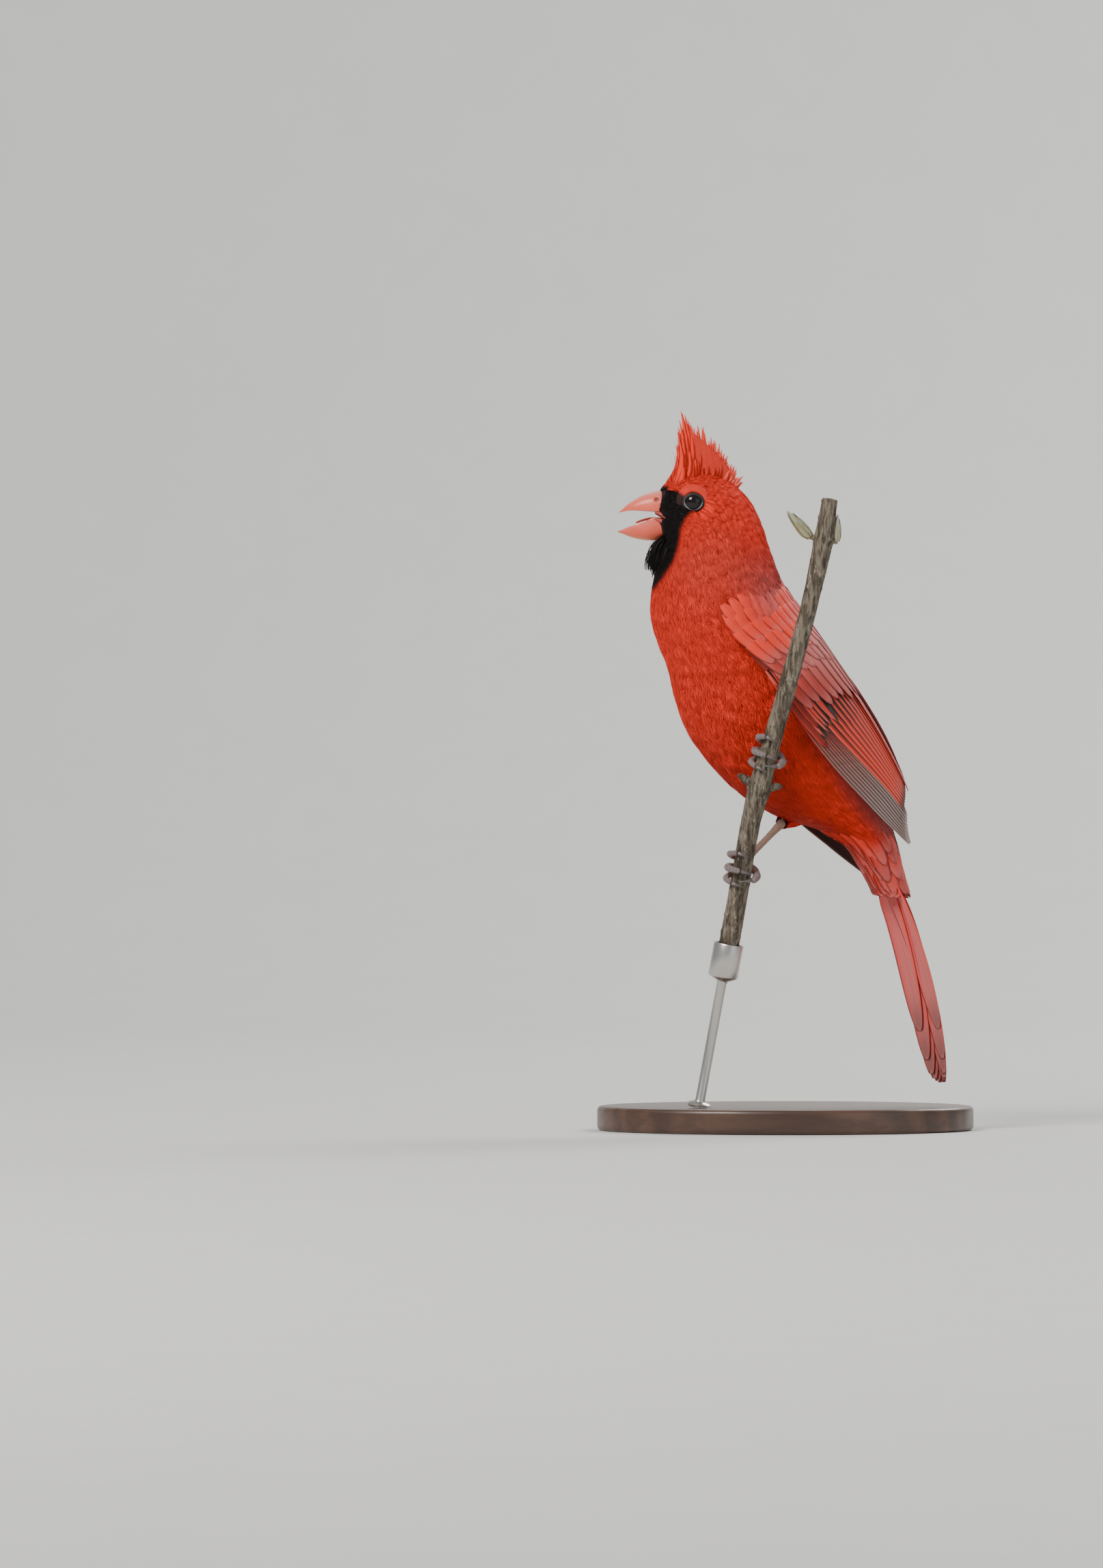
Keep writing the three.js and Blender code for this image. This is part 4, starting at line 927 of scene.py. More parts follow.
class Blade:
    """The grid of a long feather: rows along it, and columns over its face and back under it."""

    def __init__(self, rows, columns, blunt=4.0, quill=0.5, shaft=0.0, lance=False):
        y = 1 - (1 - np.linspace(0, 1, rows)) ** 1.25
        over = np.asarray(columns, float)
        self.y, self.x = y, np.concatenate([over, over[-2:0:-1]])
        self.face = np.concatenate([np.ones(len(over)), -np.ones(len(over) - 2)])
        self.shaft = shaft * np.clip(1 - np.abs(self.x) / 0.09, 0, 1)
        if lance:
            self.half = np.maximum(1 - y**1.6, 0.05) * np.minimum(0.6 + 2 * y, 1)
        else:
            tip = np.sqrt(np.maximum(1 - (np.maximum(y - 0.3, 0) / 0.71) ** blunt, 0.012))
            self.half = np.minimum(mix(quill, 1, y / 0.3), tip)


FLIGHT = Blade(20, (-1, -0.8, -0.45, -0.07, 0, 0.07, 0.5, 0.78, 1), shaft=0.16)
TAIL_BLADE = Blade(26, (-1, -0.8, -0.4, -0.06, 0, 0.06, 0.4, 0.8, 1), blunt=5.0, shaft=0.2)
COVERT = Blade(9, (-1, -0.55, -0.1, 0, 0.1, 0.55, 1), blunt=3.0, shaft=0.08)
LANCE = Blade(8, (-1, 0, 1), lance=True)
STRAND = Blade(6, (-1, 0, 1), lance=True)


def blade_points(path, width, tilt, blade, thick, outer=1.0):
    """One long feather along a path that gives its middle, side and normal at shares of its length."""
    middle, side, normal = path(blade.y)
    half = blade.half[:, None] * (width / 2)
    x = np.where(blade.x > 0, blade.x * outer, blade.x * (2 - outer))[None, :] * half
    belly = np.sqrt(np.maximum(1 - blade.x**2, 0))[None, :] * blade.face[None, :] * (thick / 2)
    rise = belly + x * tilt + (blade.shaft * (blade.face > 0))[None, :] * (1.1 - blade.y[:, None])
    rise = rise - 0.10 * np.abs(x) * np.abs(blade.x)
    return middle[:, None] + side[:, None] * x[..., None] + normal[:, None] * rise[..., None]


def plain(colour):
    """The tint of a feather of one colour."""
    return lambda x, y, p: np.broadcast_to(colour, (*x.shape, 3))


def add_blade(pile, path, width, tilt, blade, thick, tint, outer=1.0, under=0.5):
    """Adds one long feather; under is how dark its back is painted beside its face, as painted shade."""
    p = blade_points(path, width, tilt, blade, thick, outer)
    x, y = np.broadcast_arrays(blade.x[None, :], blade.y[:, None])
    colour = tint(x, y, p)
    # Painted shade: the back of each feather is a darker copy of its face colour, lighter again at the very
    # edge.
    shade = mix(under, 1.0, smooth(0.8, 1.0, np.abs(x)))[..., None]
    colour = np.where((blade.face < 0)[None, :, None], colour * shade, colour)
    vane = np.stack([x * 0.5 + 0.5, y], -1)
    place = root_patch(p[:1].mean(axis=(0, 1)))
    pile.ribbons(p[None], colour[None], vane[None], (place + (vane - 0.5) * PATCH_SIDE)[None])


PATCH_STEPS, PATCH_ANGLES = np.meshgrid(np.linspace(0, LAST, 60), np.linspace(-math.pi, math.pi, 30))
PATCH_POINTS = body(PATCH_STEPS, PATCH_ANGLES)


def root_patch(place):
    """The middle of the patch for a feather whose root is near a place on the body."""
    best = ((PATCH_POINTS - place) ** 2).sum(-1).argmin()
    return patch_middle(PATCH_STEPS.flat[best], PATCH_ANGLES.flat[best])


# Wings

def rolled_frame(along, roll):
    """The back and outer directions across a line that runs in the bird's middle plane."""
    along = unit(np.asarray(along, float))
    up = np.stack([-along[..., 2], 0 * along[..., 0], along[..., 0]], -1)
    across = np.array((0.0, 1.0, 0.0))
    c, s = math.cos(math.radians(roll)), math.sin(math.radians(roll))
    return up * c + across * s, up * s - across * c


WING_AXIS = unit(np.array(WING["axis"]))
WING_BACK, WING_OUT = rolled_frame(WING_AXIS, WING["roll"])


def wing_sheet(station, bend, side):
    """A point of the folded wing's sheet: a station down its axis, and degrees from edge to back."""
    station, bend = np.broadcast_arrays(np.asarray(station, float), np.asarray(bend, float))
    step = (station - WING["first"]) / WING["step"]
    edge_up, edge_out, ridge_up, ridge_out = (
        between(WING[k], step) for k in ("edge_up", "edge_out", "ridge_up", "ridge_out"))
    far = np.maximum(station / WING["length"], 0) * (side == RIGHT)
    shift = (WING["shift"] + WING["reach"] * far) * (side == RIGHT)
    a = np.radians(bend)
    up = mix(edge_up, ridge_up, np.sin(a)) - WING["droop"] * far
    out = side * mix(ridge_out, edge_out, np.cos(a))
    return (np.array(WING["at"]) + WING_AXIS * (station + shift)[..., None]
            + WING_BACK * up[..., None] + WING_OUT * out[..., None])


def wing_normal(station, bend, side):
    """A point of the wing's sheet and the direction that leads outward from it."""
    here = wing_sheet(station, bend, side)
    down = wing_sheet(station + 0.5, bend, side) - here
    over = wing_sheet(station, bend + 1, side) - here
    return here, unit(np.cross(down, over)) * side


def wing_path(root, tip, side, lift):
    """A feather that follows the wing's sheet, lifted off it after its first quarter."""
    def path(y):
        def place(g):
            return mix(root[0], tip[0], g), mix(root[1], tip[1], np.maximum(g, 0) ** 1.3)

        here, normal = wing_normal(*place(y), side)
        ahead = wing_sheet(*place(y + 0.02), side) - wing_sheet(*place(y - 0.02), side)
        across = unit(np.cross(ahead, normal)) * side
        return here + normal * (lift * np.minimum(y * 4, 1))[:, None], across, normal
    return path


def layered(stops, share):
    """A colour between stops of share and colour."""
    places = [s for s, _ in stops]
    return np.stack([np.interp(share, places, [c[k] for _, c in stops]) for k in range(3)], -1)


WEB_DARK = np.array((0.035, 0.020, 0.018))
WEB_BROWN = np.array((0.130, 0.075, 0.066))
EDGE_RED = np.array((0.86, 0.060, 0.035))
EDGE_PINK = np.array((0.74, 0.300, 0.250))
EDGE_PALE = np.array((0.66, 0.560, 0.530))
TAIL_ROSE = np.array((0.82, 0.150, 0.150))
COVERT_RED = np.array((0.62, 0.072, 0.055))
GREY_PINK = np.array((0.52, 0.175, 0.165))


def primary_tint(x, y, p):
    outer = smooth(0.74, 0.9, x)
    edge = layered(((0, EDGE_RED), (0.3, EDGE_RED), (0.5, EDGE_PINK), (0.8, EDGE_PALE), (1, EDGE_PALE)), y)
    colour = mix(mix(WEB_DARK, WEB_BROWN, y[..., None]), edge, outer[..., None])
    return mix(colour, EDGE_PALE, (0.7 * smooth(0.965, 1.0, y))[..., None])


def secondary_tint(x, y, p):
    outer = smooth(0.42, 0.6, x)
    pink = 0.5 * smooth(0.8, 1.0, x) + 0.3 * smooth(0.8, 1, y) * (x > 0.5)
    web = mix(WEB_DARK, mix(EDGE_RED, EDGE_PINK, pink[..., None]), outer[..., None])
    return mix(web, WEB_BROWN, (0.8 * smooth(0.93, 1.0, y))[..., None])


def tertial_tint(x, y, p):
    centre = smooth(0.85, 0.45, np.abs(x))
    edge = mix(GREY_PINK, EDGE_RED, (0.55 * smooth(0.0, 0.6, x))[..., None])
    return mix(edge, mix(WEB_BROWN, GREY_PINK, 0.45), (0.75 * centre)[..., None])


def alula_tint(x, y, p):
    return mix(mix(WEB_DARK, EDGE_RED, 0.25), EDGE_RED, smooth(0.5, 0.9, x)[..., None])


def covert_tint(x, y, p):
    back = smooth(148, 164, p[..., 2] + 0.5 * p[..., 0])
    red = mix(COVERT_RED, mix(GREY_PINK, COVERT_RED, 0.35), back[..., None])
    centre = smooth(0.5, 0.05, np.abs(x)) * smooth(1.0, 0.6, y)
    colour = mix(red, GREY_PINK, (0.6 * smooth(0.72, 1.0, np.maximum(y, np.abs(x))))[..., None])
    return mix(colour, colour * 0.55, (0.55 * centre)[..., None])


def lesser_tint(x, y, p):
    back = smooth(0.0, 14.0, p[..., 0] + 0.35 * (p[..., 2] - 160))
    colour = mix(EDGE_RED, MAUVE, back[..., None])
    return mix(colour, mix(colour, GREY_PINK, 0.6), smooth(0.5, 1.0, y)[..., None])


# Groups of wing feathers: count, roots and tips of the first and last, width, lift, tilt, web, the
# outer web's share and the tint.
FEATHER_GROUPS = (
    (9, ((22, 12), (8, 1)), ((69, 33), (77, 2)), 5.6, 0.15, 0.15, FLIGHT, 0.6, primary_tint),
    (10, ((20, 56), (20, 14)), ((60, 64), (66, 34)), 5.8, 0.35, 0.13, FLIGHT, 0.8, secondary_tint),
    (3, ((10, 84), (16, 62)), ((54, 80), (62, 66)), 10.4, 0.8, 0.10, FLIGHT, 0.95, tertial_tint),
    (3, ((2, 9), (6, 1)), ((22, 10), (34, 3)), 4.6, 0.7, 0.14, COVERT, 0.8, alula_tint),
    (7, ((8, 20), (4, 2)), ((30, 22), (33, 4)), 4.6, 0.5, 0.12, COVERT, 0.8, secondary_tint),
    (11, ((4, 84), (0, 8)), ((28, 82), (22, 11)), 6.6, 1.0, 0.10, COVERT, 0.9, covert_tint),
    (11, ((-6, 84), (-6, 6)), ((14, 82), (10, 10)), 6.6, 1.2, 0.09, COVERT, 0.95, covert_tint),
    (12, ((-10, 86), (-10, 4)), ((7, 84), (3, 8)), 6.0, 1.35, 0.08, COVERT, 1.0, lesser_tint),
    (12, ((-15, 86), (-15, 2)), ((0, 84), (-3, 6)), 5.6, 1.35, 0.07, COVERT, 1.0, lesser_tint),
    (12, ((-20, 84), (-19, 2)), ((-6, 84), (-8, 5)), 5.4, 1.2, 0.06, COVERT, 1.0, lesser_tint),
    (12, ((-24, 84), (-22, 4)), ((-11, 84), (-12, 7)), 5.2, 0.9, 0.05, COVERT, 1.0, lesser_tint),
)


def build_wing(side, name):
    """A folded wing: a thin arm, then each group of feathers from the lowest to the highest."""
    rng = np.random.default_rng(40 + side)
    pile = Pile()
    arm = Blade(12, np.linspace(-1, 1, 13))
    bends, stations = 43 + 43 * arm.x, mix(-20, 26, arm.y)[:, None]
    here, normal = wing_normal(stations, bends[None, :], side)
    p = here + normal * (arm.face * 0.4 * np.sqrt(1 - 0.8 * arm.x**2) - 0.3)[None, :, None]
    share = np.stack(np.broadcast_arrays(arm.x / 2 + 0.5, arm.y[:, None]), -1)
    # Painted shade: the arm under the feathers is half the covert red, so that it shows as shade in the
    # gaps between them.
    pile.ribbons(p[None], np.broadcast_to(COVERT_RED * 0.5, p[None].shape), share,
                 0.5 + (share - 0.5) * PATCH_SIDE)
    for count, roots, tips, width, lift, tilt, blade, outer, tint in FEATHER_GROUPS:
        for i in range(count):
            f = i / (count - 1)
            root, tip = (mix(np.array(pair[0]), np.array(pair[1]), f) for pair in (roots, tips))
            if blade is COVERT:
                tip = tip + rng.normal(0, 0.9, 2)
            layer = lift + 0.012 * (count - i)
            add_blade(pile, wing_path(root, tip, side, layer), width * rng.uniform(0.96, 1.05), tilt, blade,
                      0.16, tint, outer)
    pile.make(f"{name}_feathers", MATERIALS["flight"], "plumage_wing", name)


# Tail

TAIL_POINTS = xz(TAIL["line"])


def tail_frame(share):
    """The tail's middle line, its upward direction and its left, at shares of its length."""
    f = np.clip(share, 0, 1)
    along = unit(curve_at(TAIL_POINTS, f + 1e-3) - curve_at(TAIL_POINTS, f - 1e-3))
    middle = curve_at(TAIL_POINTS, f) + along * ((share - f) * TAIL["length"])[..., None]
    normal, side = rolled_frame(along, TAIL["roll"])
    return middle, normal, side


def tail_tint(x, y, p):
    edge = smooth(0.62, 0.97, np.abs(x))
    middle = mix(TAIL_ROSE, GREY_PINK, (0.45 * smooth(0.35, 0.9, y))[..., None])
    dusky = 0.8 * smooth(0.82, 0.97, y) * (1 - 0.5 * edge)
    colour = mix(middle, EDGE_RED, (0.7 * edge)[..., None])
    return mix(colour, mix(WEB_BROWN, GREY_PINK, 0.35), dusky[..., None])


def build_tail():
    """Six pairs of tail feathers, the outer ones lower and shorter."""
    pile = Pile()
    for pair in range(TAIL["pairs"]):
        for side in (LEFT, RIGHT):
            reach = 1 - TAIL["shorter"][pair] / TAIL["length"]

            def path(y, pair=pair, side=side, reach=reach):
                middle, normal, out = tail_frame(y * reach)
                spread = TAIL["spread"] * (0.16 + 0.84 * y) * (pair + 0.6) / TAIL["pairs"]
                lift = TAIL["pitch"] * ((TAIL["pairs"] - 1) / 2 - pair) + side * 0.12
                return middle + out * (side * spread)[:, None] + normal * lift, out, normal

            add_blade(pile, path, TAIL["width"], -0.03 * side, TAIL_BLADE, 0.2, tail_tint, under=0.95)
    pile.make("tail_feathers", MATERIALS["flight"], "plumage_wing", "tail")


def pink_tipped(red, pink, share, start):
    """The tint of a covert that turns from red to pink after the start."""
    return lambda x, y, p: mix(red, pink, (share * smooth(start, 1.0, y))[..., None])


def build_tail_coverts():
    """Long soft coverts over and under the root of the tail."""
    rng = np.random.default_rng(61)
    pile = Pile()
    for face, first, rows in ((0.0, 15.6, 4), (math.pi, 16.2, 5)):
        for row in range(rows):
            for i in range(9 - (row % 2)):
                start = first + row * 0.55
                turn = face + (i - 4 + 0.5 * (row % 2)) * 0.34 + rng.normal(0, 0.05)
                end = min(start + rng.uniform(1.5, 2.0) * (1.0 if face else 0.85), LAST)
                lift = mix(0.7, 1.5, row / rows)

                def path(y, start=start, end=end, turn=turn, lift=lift):
                    step = mix(start, end, y)
                    middle = body(step, turn, mix(-0.4, lift, y**0.8))
                    ahead = unit(body(step + 0.2, turn) - body(step - 0.2, turn))
                    out = unit(body(step, turn, 1.0) - body(step, turn))
                    side = unit(np.cross(ahead, out))
                    return middle, side, np.cross(side, ahead)

                red = mix(CRIMSON, EDGE_RED, 0.4 if face else 0.15)
                tone = rng.uniform(0.8, 1.1)
                tint = pink_tipped(red * tone, GREY_PINK * tone, 0.55, 0.3)
                add_blade(pile, path, rng.uniform(4.2, 5.2), 0.0, COVERT, 0.14, tint)
    for face in (-1, 1):
        for row in range(3):
            for i in range(5 - row % 2):
                spot = (i - 2 + 0.5 * (row % 2)) * (1.9 - 0.35 * row)
                tip = mix(0.13, 0.27, row / 2) * rng.uniform(0.88, 1.08) * (1.0 if face < 0 else 0.8)

                def path(y, face=face, spot=spot, tip=tip, row=row):
                    middle, normal, out = tail_frame(mix(-0.09, tip, y))
                    stack = 2.2 + 0.25 * (2 - row) - 0.9 * y * y
                    middle = middle + normal * (face * stack)[:, None]
                    return middle + out * (spot * (1 - 0.2 * y))[:, None], out * face, normal * face

                tint = pink_tipped(mix(CRIMSON, EDGE_RED, 0.45 if face < 0 else 0.2), GREY_PINK, 0.5, 0.2)
                add_blade(pile, path, rng.uniform(4.4, 5.4), 0.0, COVERT, 0.14, tint)
    pile.make("tail_coverts", MATERIALS["coat"], "plumage_red")


# Crest and bib

def crest_line(front, back, f):
    """A point on the line from the crest's front to its back."""
    return np.array((mix(front[0], back[0], f), 0.0, mix(front[1], back[1], f)))


def crest_half(f):
    """Half the crest's width at its foot, a share f from its front."""
    return CREST["half"] * (0.42 + 0.58 * np.sin(math.pi * np.minimum(f + 0.3, 1)))


def crest_path(f, layer, reach, drift):
    """A crest feather: its place from the front, its place across and its share of the full length."""
    root = crest_line(CREST["root_front"], CREST["root_back"], f)
    tip = crest_line(CREST["tip_front"], CREST["tip_back"], f)
    tip = tip + np.array((1.0, 0.0, 0.8)) * CREST["bulge"] * math.sin(math.pi * f)
    tip = root + (tip - root) * reach + np.array((drift, 0, drift * 0.3))
    bow = CREST["sag"] * (1 - f) * reach
    base = crest_half(f)
    along = unit(tip - root)

    def path(y):
        wave = np.sin(math.pi * y)
        middle = root + (tip - root) * y[:, None]
        middle = middle + np.stack([0.8 * bow * wave, 0 * y, -0.45 * bow * wave], -1)
        lean = layer * base * (1 - y) ** 1.1 + layer * 0.35
        middle = middle - np.stack([0 * y, lean, abs(layer) * 0.9 * (1 - y)], -1)
        turn = layer * 0.5
        across = unit(np.cross(along, (0.0, 1.0, 0.0)))
        out = np.array((0.0, -math.cos(turn), 0.0)) + across * math.sin(turn)
        side = unit(np.cross(along, out))
        normal = np.cross(side, along)
        return middle, np.broadcast_to(side, middle.shape), np.broadcast_to(normal, middle.shape)
    return path


def build_crest(feathers, strands):
    """The raised crest: feathers set from front to back, and loose strands among them."""
    rng = np.random.default_rng(71)
    pile = Pile()
    for i in range(feathers + strands):
        loose = i >= feathers
        f = float(np.clip(rng.random() if loose else (i + rng.random()) / feathers, 0.0, 1.0))
        layer = rng.uniform(-1.3, 1.3)
        short = 1 - 0.34 * abs(layer) ** 1.6
        reach = short * (rng.uniform(0.6, 1.0) if loose else 1 - 0.5 * rng.random() ** 2.6)
        tone = rng.uniform(0.96, 1.04)

        def tint(x, y, p, f=f, tone=tone):
            # Painted highlight: the tips turn pale rose towards the back of the crest, where the light from
            # behind catches them.
            tip = mix(np.array((0.90, 0.085, 0.050)), np.array((0.88, 0.24, 0.18)), f * f)
            return mix(SCARLET, tip, (smooth(0.55, 1.0, y) * (0.3 + 0.6 * f))[..., None]) * tone

        path = crest_path(f, layer, min(reach, 1.0), rng.normal(0, 0.5))
        width = rng.uniform(0.2, 0.32) if loose else rng.uniform(3.8, 5.4)
        add_blade(pile, path, width, rng.uniform(-0.08, 0.08), STRAND if loose else LANCE,
                  0.14 if loose else 0.2, tint, under=1.0)
    pile.make("crest_feathers", MATERIALS["coat"], "plumage_red", "crest")


def build_crest_core():
    """The solid middle of the crest, which fills it behind the feathers."""
    def place(turn, share):
        root = xz([CREST["root_front"]]), xz([CREST["root_back"]])
        tip = xz([CREST["tip_front"]]), xz([CREST["tip_back"]])
        f = 0.5 - 0.46 * np.cos(turn) * np.clip(share * 9, 0, 1) ** 0.5
        y = mix(-0.1, 0.84, share)
        low, high = mix(root[0], root[1], f[:, None]), mix(tip[0], tip[1], f[:, None])
        high = high + np.array((1.0, 0.0, 0.8)) * (CREST["bulge"] * np.sin(math.pi * f))[:, None]
        bow = CREST["sag"] * (1 - f) * np.sin(math.pi * np.clip(y, 0, 1))
        out = 0.8 * crest_half(f) * np.clip(1 - y, 0, 1) ** 1.1 * np.sin(turn)
        return low + (high - low) * y[:, None] + np.stack([0.8 * bow, -out, -0.45 * bow - 0.5], -1)

    def tint(turn, share, p):
        return np.broadcast_to(SCARLET * 0.9, p.shape)

    stands_for(formed("crest_core", 48, 48, place, tint, MATERIALS["skin"]), "plumage_red")


def build_bib(locks, strands):
    """Black bristly feathers that stand out below the bill and hang over the throat."""
    rng = np.random.default_rng(81)
    pile = Pile()
    for i in range(locks + strands):
        loose = i >= locks
        row = rng.random() ** 0.8
        step = mix(0.7, 4.0, row)
        turn = math.pi + rng.uniform(-0.62, 0.62)
        root = body(step, turn, -0.8)
        out = unit(np.array((-1.0, root[1] * 0.14, -0.15)))
        down = unit(np.array((-0.1, rng.normal(0, 0.05), -1.0)))
        reach = mix(9.4, 7.2, row) * rng.uniform(0.55, 1.05)
        forward = mix(5.6, 2.8, row) * rng.uniform(0.25, 1.0 if loose else 0.86)

        def middle_at(y, root=root, out=out, down=down, reach=reach, forward=forward):
            return (root + out * (forward * (1 - (1 - y) ** 2))[:, None]
                    + down * (reach * (0.45 * y + 0.55 * y * y))[:, None])

        def path(y, middle_at=middle_at, out=out):
            along = unit(middle_at(y + 0.02) - middle_at(y - 0.02))
            normal = unit(out - along * (along @ out)[:, None])
            return middle_at(y), np.cross(along, normal), normal

        width = rng.uniform(0.16, 0.3) if loose else rng.uniform(0.6, 1.3)
        tint = plain(MASK * rng.uniform(0.6, 2.6))
        add_blade(pile, path, width, rng.uniform(-0.3, 0.3), STRAND if loose else LANCE, 0.14, tint)
    pile.make("bib_feathers", MATERIALS["coat"], "plumage_red")


# Tubes

def sweep(pile, points, radii, sides, colour, up=(0.31, 0.2, 0.93)):
    """A closed tube along points; radii may vary round the section, and colour along or round it."""
    points = np.asarray(points, float)
    radii = np.asarray(radii, float)
    radii = radii if radii.ndim == 2 else np.broadcast_to(radii[:, None], (len(points), sides))
    along = unit(np.gradient(points, axis=0))
    side = unit(np.cross(along, np.asarray(up, float)))
    rise = np.cross(side, along)
    a = np.linspace(0, TAU, sides, endpoint=False)
    p = (points[:, None] + rise[:, None] * (radii * np.cos(a))[..., None]
         + side[:, None] * (radii * np.sin(a))[..., None])
    colour = np.asarray(colour, float)
    if colour.ndim == 2:
        colour = np.broadcast_to(colour[:, None], p.shape)
    pile.ribbons(p[None], np.broadcast_to(colour, p.shape)[None])


def rounded(count, ends=0.12):
    """Radii that close both ends of a tube like half balls."""
    y = np.linspace(0, 1, count)
    near = np.minimum(y, 1 - y) / ends
    return np.sqrt(np.clip(1 - (1 - np.clip(near, 0, 1)) ** 2, 0.02, 1))


# Bill, tongue and eyes

def nostril_pit(p):
    """How far points lie from the middle of the nostril, 1 at its rim."""
    return np.hypot((p[:, 0] - NOSTRIL[0]) / 1.25, (p[:, 2] - NOSTRIL[1]) / 0.8)


def bill_place(stations):
    """Places the points of one half of the bill: its ridge, its cutting edge and its sides between."""
    ridge_line, edge_line = xz([s[0] for s in stations]), xz([s[1] for s in stations])
    halves = [s[2] for s in stations]

    def place(turn, share):
        along, poles = ball_rows(share, BILL_ROWS)
        step = (len(stations) - 1) * along
        ridge, edge, half = between(ridge_line, step), between(edge_line, step), between(halves, step)
        c, s = np.cos(turn), np.sin(turn)
        height = np.where(c > 0, 0.02 + 0.98 * np.maximum(c, 0) ** 0.8, -0.02 + 0.14 * (1 - np.abs(s)))
        wide = half * np.sign(s) * np.abs(s) ** 0.85
        p = edge + (ridge - edge) * height[:, None] + np.stack([0 * wide, -wide, 0 * wide], -1)
        p[poles] = ((ridge + edge) / 2)[poles]
        p[:, 1] *= 1 - 0.16 * smooth(1.0, 0.3, nostril_pit(p)) * (np.abs(p[:, 1]) > 3)
        return p
    return place


def bill_tint(colour, ridge_tint_and_highlight, edge_tone):
    def tint(turn, share, p):
        c = np.cos(turn)
        # Paler along each ridge: on the upper half a painted highlight where the light falls on top; on the
        # lower half a paler orange along its underside.
        tone = mix(np.array(colour), np.array(ridge_tint_and_highlight), (0.42 * smooth(0.55, 1.0, c))[:, None])
        tone = mix(tone, np.array(edge_tone), (0.7 * smooth(0.35, -0.1, c))[:, None])
        tone = mix(tone, tone * 0.8, smooth(0.85, 1.0, share)[:, None])
        tone = mix(tone, tone * 0.8, smooth(0.12, 0.03, share)[:, None])
        # Painted shade: the nostril's shallow pit is painted almost black, for the shade inside it.
        return mix(tone, np.array((0.05, 0.012, 0.01)), (0.95 * smooth(0.95, 0.4, nostril_pit(p)))[:, None])
    return tint


BILL_ROWS = 120


def build_bill(sizes):
    """Both halves of the bill, one form each."""
    # pale is the colour along each ridge, a painted highlight on the upper half; edge is the colour of the
    # cutting edge.
    for name, node, stations, pale, edge in (
        ("bill_top", "bill_upper", BILL_UPPER, (0.96, 0.72, 0.66), (0.84, 0.13, 0.07)),
        ("bill_bottom", "bill_lower", BILL_LOWER, (0.92, 0.30, 0.10), (0.86, 0.20, 0.17)),
    ):
        obj = formed(name, 64, BILL_ROWS, bill_place(stations), bill_tint(sizes.bill_colour, pale, edge),
                     MATERIALS["bill"])
        stands_for(obj, "bill", node)


def build_mouth():
    """The tongue, and the soft fold of skin at each corner of the mouth."""
    def place(turn, share):
        half = 1.9 * np.sqrt(np.clip(1 - 0.86 * share**3, 0, 1)) * np.minimum(np.sqrt(share * 8), 1)
        half = half * np.sqrt(np.clip((1 - share) * 14, 0, 1))
        middle = np.stack([mix(-38.2, -49.4, share), 0 * share, mix(200.5, 200.0, share)], -1)
        x = np.sin(turn)
        groove = 0.3 * x * x - 0.12 * smooth(0.25, 0.0, np.abs(x)) * (np.cos(turn) > 0)
        rise = 1.2 * np.sin(math.pi * share) + 0.38 * np.cos(turn) * np.minimum(half, 1) + groove
        return middle + np.stack([0 * x, half * x, rise], -1)

    def tint(turn, share, p):
        return np.broadcast_to((0.5, 0.15, 0.12), p.shape)

    stands_for(formed("tongue_form", 28, 48, place, tint, MATERIALS["mouth"]), "mouth", "tongue")
    pile = Pile()
    for side in (LEFT, RIGHT):
        line = [(-43.0, 5.2, 203.5), (-40.0, 6.5, 202.2), (-37.8, 7.6, 200.4), (-37.3, 7.9, 199.4),
                (-38.0, 7.4, 198.9), (-40.2, 6.3, 200.2), (-43.2, 5.3, 201.3)]
        y = np.linspace(0, 1, 40)
        points = curve_at([(x, -side * out, z) for x, out, z in line], y)
        radii = 0.66 * rounded(40, 0.25) * (1 + 0.3 * np.sin(math.pi * y))
        inner = np.sin(math.pi * y)[:, None] ** 4
        tone = mix(np.array((0.55, 0.07, 0.05)), np.array((0.62, 0.20, 0.17)), inner)
        sweep(pile, points, radii, 12, tone, up=(0, 1, 0))
    pile.make("gape_folds", MATERIALS["lid"], "mouth")


def build_eyes():
    """Each eyeball and its three rings of lids."""
    for side, name in ((LEFT, "eye_left"), (RIGHT, "eye_right")):
        bm = bmesh.new()
        centre = Vector((EYE["x"], -side * EYE["out"], EYE["z"])) * MM
        bmesh.ops.create_uvsphere(bm, u_segments=64, v_segments=48, radius=EYE["radius"] * MM,
                                  matrix=Matrix.Translation(centre))
        stands_for(from_bmesh(f"{name}_ball", bm, MATERIALS["eye"]), "eye", name)
        pile = Pile()
        for radius, out, thick, low_tone, high_tone in (
            (2.78, 2.58, 0.17, (0.34, 0.37, 0.46), (0.012, 0.010, 0.010)),
            (3.00, 2.38, 0.24, (0.040, 0.032, 0.034), (0.012, 0.010, 0.010)),
            (3.28, 2.02, 0.30, (0.030, 0.014, 0.012), (0.016, 0.010, 0.010)),
        ):
            add_lid(pile, side, radius, out, thick, np.array(low_tone), np.array(high_tone))
        pile.make(f"{name}_lids", MATERIALS["lid"], "eye")


